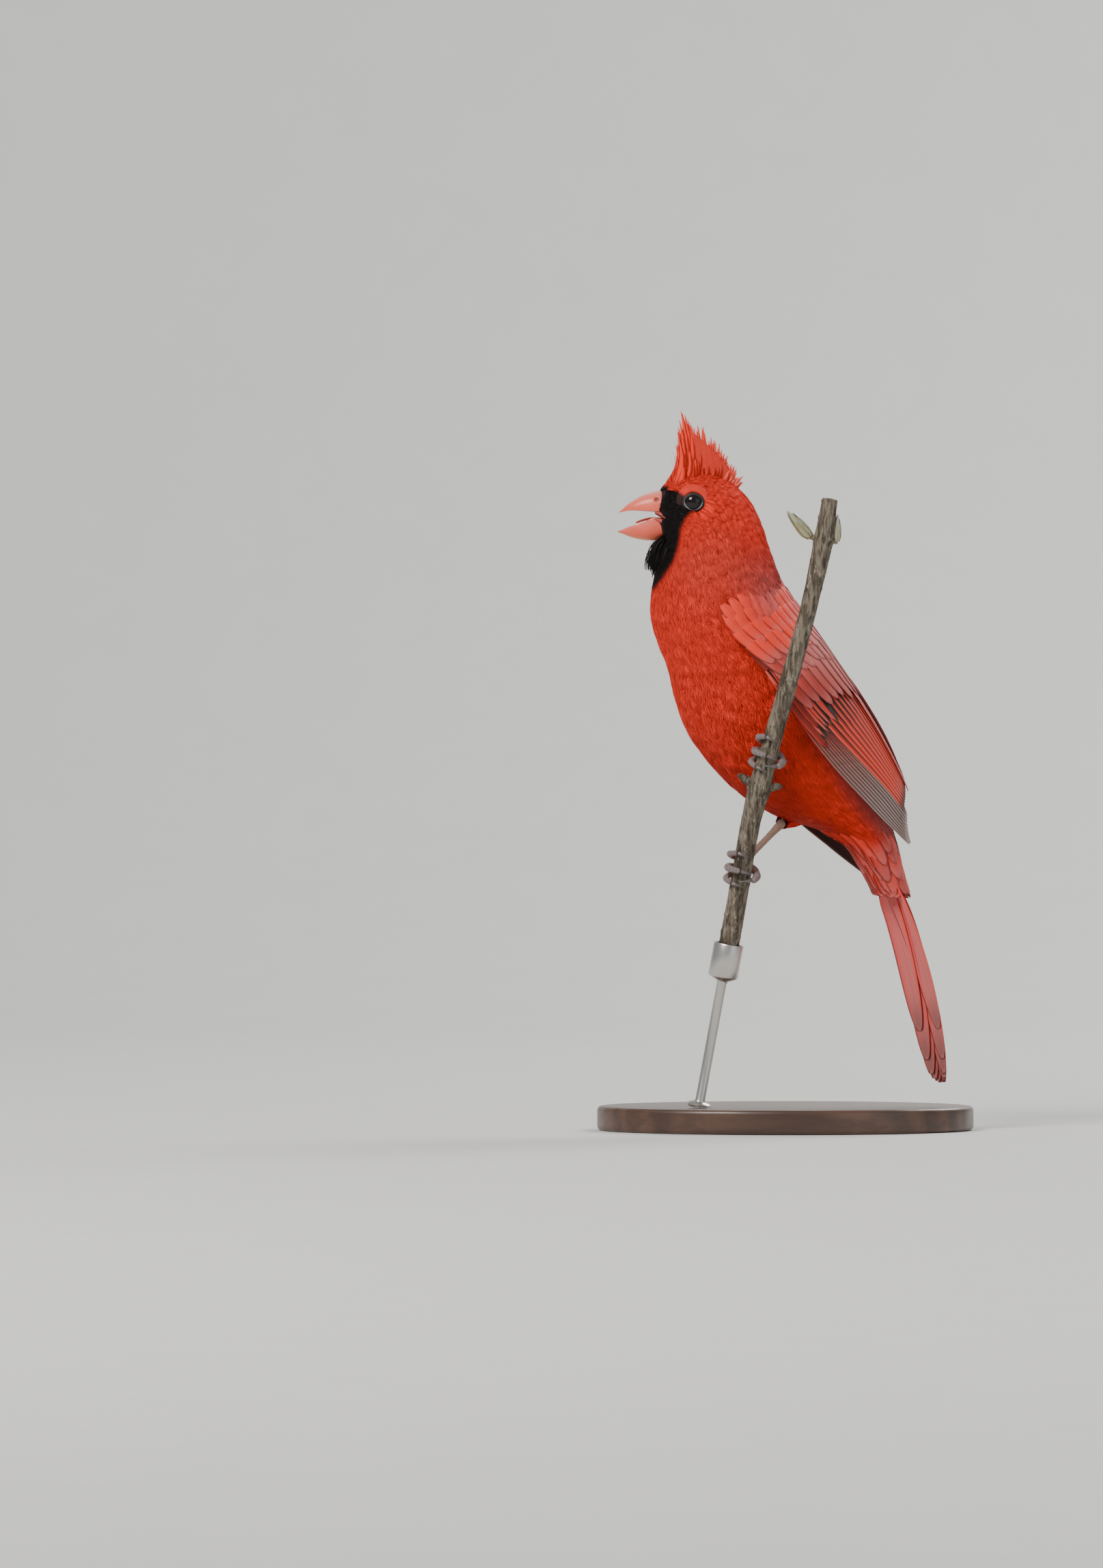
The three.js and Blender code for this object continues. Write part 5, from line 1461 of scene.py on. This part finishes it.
def add_lid(pile, side, radius, out, thick, low_tone, high_tone):
    """One ring of the eyelids, a little pointed in front and behind, with fine folds."""
    a = np.linspace(0, TAU, 96, endpoint=False)
    b = np.linspace(0, TAU, 10, endpoint=False)
    r = radius * (1 + 0.035 * np.cos(2 * a))
    folds = thick * (1 + 0.10 * np.sin(a * 26) + 0.06 * np.sin(a * 41 + 1))
    ring = r[:, None] + folds[:, None] * np.cos(b)
    p = np.stack([EYE["x"] + ring * np.cos(a)[:, None],
                  -side * (EYE["out"] + out + folds[:, None] * np.sin(b) + 0 * ring),
                  EYE["z"] + ring * np.sin(a)[:, None] * 0.91], -1)
    i, k = np.meshgrid(np.arange(96), np.arange(10), indexing="ij")
    quads = np.stack([i * 10 + k, i * 10 + (k + 1) % 10, (i + 1) % 96 * 10 + (k + 1) % 10,
                      (i + 1) % 96 * 10 + k], -1)
    tone = mix(high_tone, low_tone, smooth(0.25, -0.45, np.sin(a))[:, None])
    pile.add(p, quads if side == LEFT else quads[..., ::-1], np.zeros((0, 3)),
             np.broadcast_to(tone[:, None], p.shape))


# Twig, buds and feet

STEM_POINTS = np.array([s[0] for s in STEM], float)
STEM_RADII = [s[1] for s in STEM]
STEM_SHARES = np.linspace(0, 1, 1200)
STEM_HEIGHTS = curve_at(STEM_POINTS, STEM_SHARES)[:, 2]


def stem_frame(height):
    """The twig at a height: its middle, the ways along it, to the viewer and to the left, its radius."""
    f = np.interp(height, STEM_HEIGHTS, STEM_SHARES)
    along = unit(curve_at(STEM_POINTS, f + 1e-3) - curve_at(STEM_POINTS, f - 1e-3))
    front = unit(np.array((0.0, -1.0, 0.0)) + along * along[..., 1:2])
    left = -np.cross(along, front)
    return curve_at(STEM_POINTS, f), along, front, left, between(STEM_RADII, f * (len(STEM) - 1))


def round_stem(height, angle, out):
    """A point beside the twig: angle 0 faces the viewer, 90 the bird's front."""
    height, angle = np.broadcast_arrays(np.asarray(height, float), np.asarray(angle, float))
    centre, _, front, left, radius = stem_frame(height)
    a = np.radians(angle)
    far = (radius + out)[..., None]
    return centre + front * far * np.cos(a)[..., None] + left * far * np.sin(a)[..., None]


def bark_relief(heights, turns):
    """Height of the bark in millimetres, from fissures that run along the twig and small pores."""
    values = []
    for z, t in zip(heights.ravel(), turns.ravel()):
        long_ridge = noise.noise(Vector((4.2 * math.cos(t), 4.2 * math.sin(t), z * 0.045)))
        fine = noise.noise(Vector((9 * math.cos(t), 9 * math.sin(t), z * 0.22)) + Vector((7, 3, 1)))
        pore = noise.noise(Vector((3 * math.cos(t), 3 * math.sin(t), z * 0.55)) + Vector((31, 5, 9)))
        values.append(0.17 * long_ridge + 0.10 * fine + 0.16 * max(pore - 0.38, 0) * 4)
    return np.array(values).reshape(turns.shape)


def build_twig():
    """The twig with its bark, its joints, its cut ends and its side stubs."""
    rows, sides = 420, 56
    pile = Pile()
    y = np.linspace(0, 1, rows)
    points = curve_at(STEM_POINTS, y)
    turns, heights = np.meshgrid(np.linspace(0, TAU, sides, endpoint=False), points[:, 2])
    relief = bark_relief(heights, turns)
    base = between(STEM_RADII, y * (len(STEM) - 1))[:, None]
    collar = sum(0.35 * np.exp(-((points[:, 2] - h) / 1.6) ** 2) for h in NODE_HEIGHTS.values())[:, None]
    radii = (base - 0.12 + relief + collar) * np.minimum(rounded(rows, 0.004), 1)[:, None]
    tone = np.array((0.21, 0.175, 0.13)) * (0.8 + 1.9 * (relief + 0.12))[..., None]
    cut = (y < 0.0015) | (y > 0.9985)
    tone[cut] = (0.42, 0.32, 0.19)
    sweep(pile, points, radii, sides, np.clip(tone, 0.02, 0.6))
    for side, reach in ((1, 4.2), (-1, 3.4)):
        centre, along, _, left, radius = stem_frame(NODE_HEIGHTS["lower"])
        f = np.linspace(0.3, 1, 24)[:, None]
        points = centre + left * side * (radius + reach) * f + along * 2.6 * f
        radii = np.interp(f[:, 0], (0.3, 0.5, 0.8, 1.0), (2.1, 1.6, 1.2, 0.5))
        radii = radii * (1 + 0.1 * np.sin(f[:, 0] * 60))
        sweep(pile, points, radii, 20, np.array((0.17, 0.14, 0.11)))
    pile.make("twig", MATERIALS["bark"], "bark", "perch_stem")


# Buds: node, side, length, thickness, lean in degrees, way off the twig, pale and edge colours
BUDS = (
    ("perch_bud_left", 1, 10.8, 1.9, 57, 0.8, (0.42, 0.44, 0.30), (0.36, 0.25, 0.08)),
    ("perch_bud_right", -1, 7.8, 1.25, -10, 0.9, (0.50, 0.50, 0.40), (0.40, 0.33, 0.15)),
)


BUD_SCALE = Blade(14, np.linspace(-1, 1, 9), blunt=2.4)


def rimmed(tone, edge):
    """The tint of a bud scale with a rim of another colour."""
    def tint(x, y, p):
        rim = np.maximum(smooth(0.6, 1.0, np.abs(x)), smooth(0.8, 1, y))
        return mix(tone, edge, (0.8 * rim)[..., None])
    return tint


def build_buds():
    """Two opening buds at the upper joint of the twig: a core under narrow overlapping scales."""
    for node, side, length, thick, lean, off, pale, edge in BUDS:
        pile = Pile()
        centre, along, front, left, radius = stem_frame(NODE_HEIGHTS["upper"])
        out = left * side
        way = out * math.sin(math.radians(lean)) + along * math.cos(math.radians(lean))
        start = centre + out * (radius - 0.6)
        origin = centre + out * (radius + GAP + off)

        def middle(f, origin=origin, way=way, length=length, along=along):
            return origin + way * (length * f)[:, None] + along * (1.2 * f * f)[:, None]

        y = np.linspace(0, 1, 40)
        radii = np.interp(y, (0, 0.2, 0.5, 0.8, 1), (0.7, 0.9, 0.95, 0.6, 0.1)) * thick * 0.82
        sweep(pile, middle(y), radii, 24, mix(np.array(edge), np.array(pale), smooth(0, 0.5, y)[:, None]))
        stalk = [start, (start + origin) / 2, origin, middle(np.array([0.06]))[0]]
        sweep(pile, stalk, (1.0, 0.9, 0.8, 0.5), 20, (0.17, 0.15, 0.10))
        base = unit(np.cross(way, front))
        for i in range(7):
            turn = i * 2.4
            facing = front * math.cos(turn) + base * math.sin(turn)
            share = 0.55 + 0.45 * ((i * 3) % 7) / 6

            def path(f, facing=facing, share=share, middle=middle, thick=thick, way=way):
                swell = np.interp(f * share, (0, 0.2, 0.5, 0.8, 1), (0.7, 0.92, 0.97, 0.66, 0.22))
                points = middle(f * share) + facing * (swell * thick * 0.9)[:, None]
                side = np.broadcast_to(np.cross(way, facing), points.shape)
                return points, side, np.broadcast_to(facing, points.shape)

            add_blade(pile, path, thick * 1.5, 0.0, BUD_SCALE, 0.16,
                      rimmed(mix(np.array(pale), np.array(edge), 0.25 * (i % 3)), np.array(edge)))
        pile.make(f"{node}_scales", MATERIALS["bud"], "bud", node)


TOE_PINK = np.array((0.25, 0.195, 0.205))
SHANK = np.array((0.36, 0.225, 0.150))


def scutes(y, count, depth):
    """A sawtooth of overlapping scales along a toe or a shank, 0 in the seams."""
    saw = (y * count) % 1.0
    return depth * np.minimum(saw * 1.6, 1.0) * smooth(1.0, 0.86, saw)


def add_toe(pile, grip, toe):
    """A toe curled round the twig: scales on its outer side, soft pads against the bark."""
    _, start, end, low, high, radius = toe
    rows, sides = 90, 20
    y = np.linspace(0, 1, rows)
    points = round_stem(grip + mix(low, high, y), mix(start, end, y), radius + GAP + 0.1)
    centre = stem_frame(points[:, 2])[0]
    swell = np.interp(y, (0, 0.17, 0.33, 0.5, 0.67, 0.85, 1), (1.15, 1.0, 1.12, 0.95, 1.1, 0.92, 0.9))
    a = np.linspace(0, TAU, sides, endpoint=False)
    top = smooth(0.1, 0.8, np.cos(a))[None, :]
    under = smooth(0.2, 0.9, -np.cos(a))[None, :]
    ridges = scutes(y, 13, 1.0)[:, None]
    pads = (0.5 + 0.5 * np.sin(y * TAU * 3.5))[:, None]
    r = radius * swell[:, None] * rounded(rows, 0.06)[:, None]
    r = r * (0.93 + 0.10 * ridges * top + 0.08 * pads * under)
    tone = mix(TOE_PINK * 0.42, TOE_PINK, np.clip(ridges + 1 - top, 0, 1)[..., None])
    tone = mix(tone, np.array((0.30, 0.22, 0.17)), (0.6 * under)[..., None])
    sweep(pile, points, r, sides, tone, up=points - centre)


def add_shank(pile, foot):
    """The scaled shank from the heel to the ankle, and the soft palm against the bark."""
    heel = round_stem(foot["grip"] + 0.4, 178, 1.97)
    ankle = np.array(foot["ankle"])
    rows, sides = 80, 24
    y = np.linspace(0, 1, rows)
    front = smooth(0.0, 0.8, np.cos(np.linspace(0, TAU, sides, endpoint=False)))[None, :]
    shape = between((1.5, 1.15, 1.1, 1.2, 1.6), y * 4)[:, None] * rounded(rows, 0.04)[:, None]
    ridges = scutes(y, 8, 1.0)[:, None]
    tone = mix(SHANK * 0.45, SHANK, np.clip(ridges + 1 - front, 0, 1)[..., None])
    sweep(pile, heel + (ankle - heel) * y[:, None], shape * (0.96 + 0.06 * ridges * front), sides, tone,
          up=(-1.0, -0.4, 0.2))
    palm = round_stem(foot["grip"] - 0.2, 180, 1.92)
    y = np.linspace(-1, 1, 24)
    sweep(pile, palm + np.array((0, 0, 3.4)) * y[:, None], 1.75 * np.sqrt(np.maximum(1 - y**2, 0.01)), 20,
          TOE_PINK, up=(0, 1, 0))


def add_claw(pile, grip, toe):
    """A claw that goes on round the twig from the end of its toe."""
    _, start, end, _, high, _ = toe
    way = math.copysign(1, end - start)
    y = np.linspace(0, 1, 40)
    points = round_stem(grip + high + CLAW["drop"] * y, end + way * (4 + (CLAW["sweep"] + 7) * y),
                        CLAW["radius"] + GAP + 0.35 * np.sin(math.pi * y))
    radii = mix(CLAW["radius"] * 1.12, CLAW["tip"], y**0.9) * np.minimum(rounded(40, 0.1) + 0.15, 1)
    tone = mix(np.array((0.13, 0.10, 0.10)), np.array((0.035, 0.028, 0.028)), y[:, None])
    sweep(pile, points, radii, 14, tone, up=points - stem_frame(points[:, 2])[0])


def build_feet():
    """Both feet: toes, shank and palm in one piece, and each claw as its own."""
    for name, foot in FEET.items():
        pile = Pile()
        for toe in TOES:
            add_toe(pile, foot["grip"], toe)
        add_shank(pile, foot)
        pile.make(f"foot_{name}_scales", MATERIALS["leg"], "leg", f"foot_{name}")
        for toe in TOES:
            claw = Pile()
            add_claw(claw, foot["grip"], toe)
            node = f"claw_{name}_{toe[0]}"
            claw.make(f"{node}_horn", MATERIALS["claw"], "claw", node)


# Stand

# The oval base in millimetres: half its length, half its width, its height and its rounded rim
BASE = {"half_long": 62, "half_wide": 44, "high": 8, "rim": 1.5}

# The rod's radius and height, in millimetres: its foot measured up from the base, and its neck and cup
# from the cut end of the twig, which stands in the cup
ROD_FOOT = ((0.3, 0), (3.7, 0), (3.84, 0.3), (3.84, 1.0), (3.5, 1.4), (1.9, 1.9), (1.6, 2.6))
ROD_CUP = ((1.6, -4.4), (1.9, -3.4), (4.5, -2.2), (4.9, -1.6), (4.9, 8.6), (4.7, 9.0), (4.3, 9.0),
           (4.12, 8.8), (4.12, -0.7), (0.3, -0.72))


def build_stand():
    """An oval wooden base and a thin metal rod with a cup that takes the end of the twig."""
    bm = bmesh.new()
    radius, high = BASE["half_long"] * MM, BASE["high"] * MM
    bmesh.ops.create_cone(bm, cap_ends=True, segments=160, radius1=radius, radius2=radius, depth=high,
                          matrix=Matrix.Translation((0, 0, high / 2)))
    rims = [e for e in bm.edges if abs(e.verts[0].co.z - e.verts[1].co.z) < 1e-6]
    bmesh.ops.bevel(bm, geom=rims, offset=BASE["rim"] * MM, segments=6, profile=0.5, affect="EDGES")
    bmesh.ops.scale(bm, vec=(1, BASE["half_wide"] / BASE["half_long"], 1), verts=bm.verts)
    base = from_bmesh("base_wood", bm, MATERIALS["wood"])
    base.data.set_sharp_from_angle(angle=math.radians(32))
    stands_for(base, "base_wood", "stand_base")
    top = BASE["high"] + GAP
    centre, along, *_ = stem_frame(STEM[0][0][2])
    drop = (centre[2] - top) / along[2]
    profile = np.array([(r, h - drop) for r, h in ROD_FOOT] + list(ROD_CUP))
    points = centre + along * profile[:, 1:]
    a = np.linspace(0, TAU, 64, endpoint=False)
    side = unit(np.cross(along, (0.0, 1.0, 0.0)))
    rise = np.cross(side, along)
    p = (points[:, None] + rise * (profile[:, :1] * np.cos(a))[..., None]
         + side * (profile[:, :1] * np.sin(a))[..., None])
    p[..., 2] = np.maximum(p[..., 2], top)
    pile = Pile()
    pile.ribbons(p[None], np.ones_like(p)[None])
    rod = pile.make("rod_metal", MATERIALS["metal"], "rod_metal", "stand_rod")
    rod.data.set_sharp_from_angle(angle=math.radians(38))


# Settings and operators

def colour_property(name, description, default):
    return bpy.props.FloatVectorProperty(name=name, description=description, subtype="COLOR",
                                         size=3, min=0.0, max=1.0, default=default)


class CardinalSizes(bpy.types.PropertyGroup):
    """Sizes and colours that a user would change."""

    density: bpy.props.FloatProperty(name="Feather density", default=1.0, min=0.2, max=2.0,
                                     description="How closely the body feathers are set")
    crest_feathers: bpy.props.IntProperty(name="Crest feathers", default=260, min=20, max=600,
                                          description="Feathers in the crest")
    bib_feathers: bpy.props.IntProperty(name="Bib feathers", default=130, min=20, max=600,
                                        description="Black feathers below the bill")
    bill_colour: colour_property("Bill colour", "Coral horn of the bill", (0.88, 0.105, 0.050))
    base_colour: colour_property("Base colour", "Varnished wood of the base", (0.10, 0.045, 0.025))
    camera_distance: bpy.props.FloatProperty(name="Camera distance", default=2.87, unit="LENGTH",
                                             description="From the bird's middle plane to the camera")


class CARDINAL_OT_stage(bpy.types.Operator):
    """Adds the pale floor, the soft lights and the camera"""

    bl_idname = "cardinal.stage"
    bl_label = "Stage, lights and camera"

    def execute(self, context):
        build_stage(context.scene.cardinal_sizes)
        return {"FINISHED"}


class CARDINAL_OT_skin(bpy.types.Operator):
    """Adds the skin that carries the feathers"""

    bl_idname = "cardinal.skin"
    bl_label = "Skin"

    def execute(self, context):
        build_skin()
        return {"FINISHED"}


class CARDINAL_OT_coat(bpy.types.Operator):
    """Adds the small body feathers, region by region"""

    bl_idname = "cardinal.coat"
    bl_label = "Body feathers"

    def execute(self, context):
        density = context.scene.cardinal_sizes.density
        for seed, region in enumerate(REGIONS):
            coat_region(*region, density, 11 + seed)
        build_scapulars()
        build_thighs()
        return {"FINISHED"}


class CARDINAL_OT_wings(bpy.types.Operator):
    """Adds both folded wings, feather by feather"""

    bl_idname = "cardinal.wings"
    bl_label = "Wings"

    def execute(self, context):
        build_wing(LEFT, "wing_left")
        build_wing(RIGHT, "wing_right")
        return {"FINISHED"}


class CARDINAL_OT_tail(bpy.types.Operator):
    """Adds the twelve tail feathers and their coverts"""

    bl_idname = "cardinal.tail"
    bl_label = "Tail"

    def execute(self, context):
        build_tail()
        build_tail_coverts()
        return {"FINISHED"}


class CARDINAL_OT_crest(bpy.types.Operator):
    """Adds the raised crest and the black bib"""

    bl_idname = "cardinal.crest"
    bl_label = "Crest and bib"

    def execute(self, context):
        sizes = context.scene.cardinal_sizes
        build_crest_core()
        build_crest(sizes.crest_feathers, sizes.crest_feathers * 2)
        build_bib(sizes.bib_feathers, sizes.bib_feathers * 5)
        return {"FINISHED"}


class CARDINAL_OT_face(bpy.types.Operator):
    """Adds the bill, the tongue, the folds of the mouth and the eyes"""

    bl_idname = "cardinal.face"
    bl_label = "Bill, mouth and eyes"

    def execute(self, context):
        build_bill(context.scene.cardinal_sizes)
        build_mouth()
        build_eyes()
        return {"FINISHED"}


class CARDINAL_OT_perch(bpy.types.Operator):
    """Adds the twig with its buds, and the feet that grip it"""

    bl_idname = "cardinal.perch"
    bl_label = "Twig and feet"

    def execute(self, context):
        build_twig()
        build_buds()
        build_feet()
        return {"FINISHED"}


class CARDINAL_OT_stand(bpy.types.Operator):
    """Adds the base and the rod of the stand"""

    bl_idname = "cardinal.stand"
    bl_label = "Display stand"

    def execute(self, context):
        build_stand()
        return {"FINISHED"}


class CARDINAL_PT_pieces(bpy.types.Panel):
    """Lists the sizes and a button for each piece"""

    bl_idname = "CARDINAL_PT_pieces"
    bl_label = "Cardinal"
    bl_space_type = "VIEW_3D"
    bl_region_type = "UI"
    bl_category = "Cardinal"

    def draw(self, context):
        sizes = context.scene.cardinal_sizes
        for name in CardinalSizes.__annotations__:
            self.layout.prop(sizes, name)
        for operator in OPERATORS:
            self.layout.operator(operator.bl_idname)


# Area lights: name, place and size in metres, power in watts and colour
LIGHTS = (
    ("Key", (-1.0, -1.3, 1.5), 0.8, 40.0, (1.0, 0.97, 0.92)),
    ("Fill", (1.5, -1.6, 0.7), 1.6, 6.0, (0.93, 0.96, 1.0)),
    ("Rim", (0.9, 1.1, 1.3), 0.8, 22.0, (1.0, 0.99, 0.97)),
)
LIT = Vector((0, 0, 0.14))
ROOM_COLOUR, ROOM_STRENGTH = (0.92, 0.95, 1.0, 1.0), 0.40
# The floor in metres: its ends along the view, half its width, the bend's radius and the wall's top
FLOOR = {"near": -3.0, "bend": 1.1, "half": 2.6, "radius": 0.6, "top": 2.6}
# The camera faces along +y from this place across and up, with a lens in millimetres
CAMERA = {"x": -0.077, "z": 0.114, "lens": 200.0, "sensor": 36.0, "far": 20.0}


def build_floor():
    """A pale floor that curves up into a backdrop."""
    bm = bmesh.new()
    bend, radius, half = FLOOR["bend"], FLOOR["radius"], FLOOR["half"]
    turns = np.linspace(0.1, math.pi / 2, 12)
    profile = [(FLOOR["near"], 0.0), (bend, 0.0)]
    profile += [(bend + radius * math.sin(t), radius - radius * math.cos(t)) for t in turns]
    profile += [(bend + radius, FLOOR["top"])]
    verts = [bm.verts.new((-half, y, z)) for y, z in profile]
    edges = [bm.edges.new(pair) for pair in zip(verts, verts[1:])]
    swept = bmesh.ops.extrude_edge_only(bm, edges=edges)["geom"]
    far_side = [g for g in swept if isinstance(g, bmesh.types.BMVert)]
    bmesh.ops.translate(bm, vec=(2 * half, 0, 0), verts=far_side)
    from_bmesh("floor", bm, MATERIALS["floor"])


def build_stage(sizes):
    """The floor, three soft lights, a pale room and the photograph's view."""
    scene = bpy.context.scene
    build_floor()
    for name, place, size, power, tint in LIGHTS:
        light = bpy.data.lights.new(name, "AREA")
        light.energy, light.size, light.color = power, size, tint
        lamp = bpy.data.objects.new(name, light)
        lamp.location = place
        lamp.rotation_euler = (LIT - Vector(place)).to_track_quat("-Z", "Y").to_euler()
        scene.collection.objects.link(lamp)
    world = bpy.data.worlds.new("Soft room")
    world.use_nodes = True
    sky = world.node_tree.nodes["Background"].inputs
    sky[0].default_value, sky[1].default_value = ROOM_COLOUR, ROOM_STRENGTH
    scene.world = world
    camera = bpy.data.cameras.new("Camera")
    camera.sensor_fit, camera.sensor_height, camera.lens = "VERTICAL", CAMERA["sensor"], CAMERA["lens"]
    camera.clip_end = CAMERA["far"]
    eye = bpy.data.objects.new("Camera", camera)
    eye.location = (CAMERA["x"], -sizes.camera_distance, CAMERA["z"])
    eye.rotation_euler = (math.pi / 2, 0, 0)
    scene.collection.objects.link(eye)
    scene.camera = eye


OPERATORS = (CARDINAL_OT_stage, CARDINAL_OT_skin, CARDINAL_OT_coat, CARDINAL_OT_wings, CARDINAL_OT_tail,
             CARDINAL_OT_crest, CARDINAL_OT_face, CARDINAL_OT_perch, CARDINAL_OT_stand)
CLASSES = (CardinalSizes, *OPERATORS, CARDINAL_PT_pieces)


def register():
    for cls in CLASSES:
        bpy.utils.register_class(cls)
    bpy.types.Scene.cardinal_sizes = bpy.props.PointerProperty(type=CardinalSizes)


def unregister():
    del bpy.types.Scene.cardinal_sizes
    for cls in reversed(CLASSES):
        bpy.utils.unregister_class(cls)


def main():
    """Builds every piece."""
    register()
    make_materials(bpy.context.scene.cardinal_sizes)
    bpy.ops.cardinal.stage()
    bpy.ops.cardinal.skin()
    bpy.ops.cardinal.coat()
    bpy.ops.cardinal.wings()
    bpy.ops.cardinal.tail()
    bpy.ops.cardinal.crest()
    bpy.ops.cardinal.face()
    bpy.ops.cardinal.perch()
    bpy.ops.cardinal.stand()


if __name__ == "__main__":
    main()
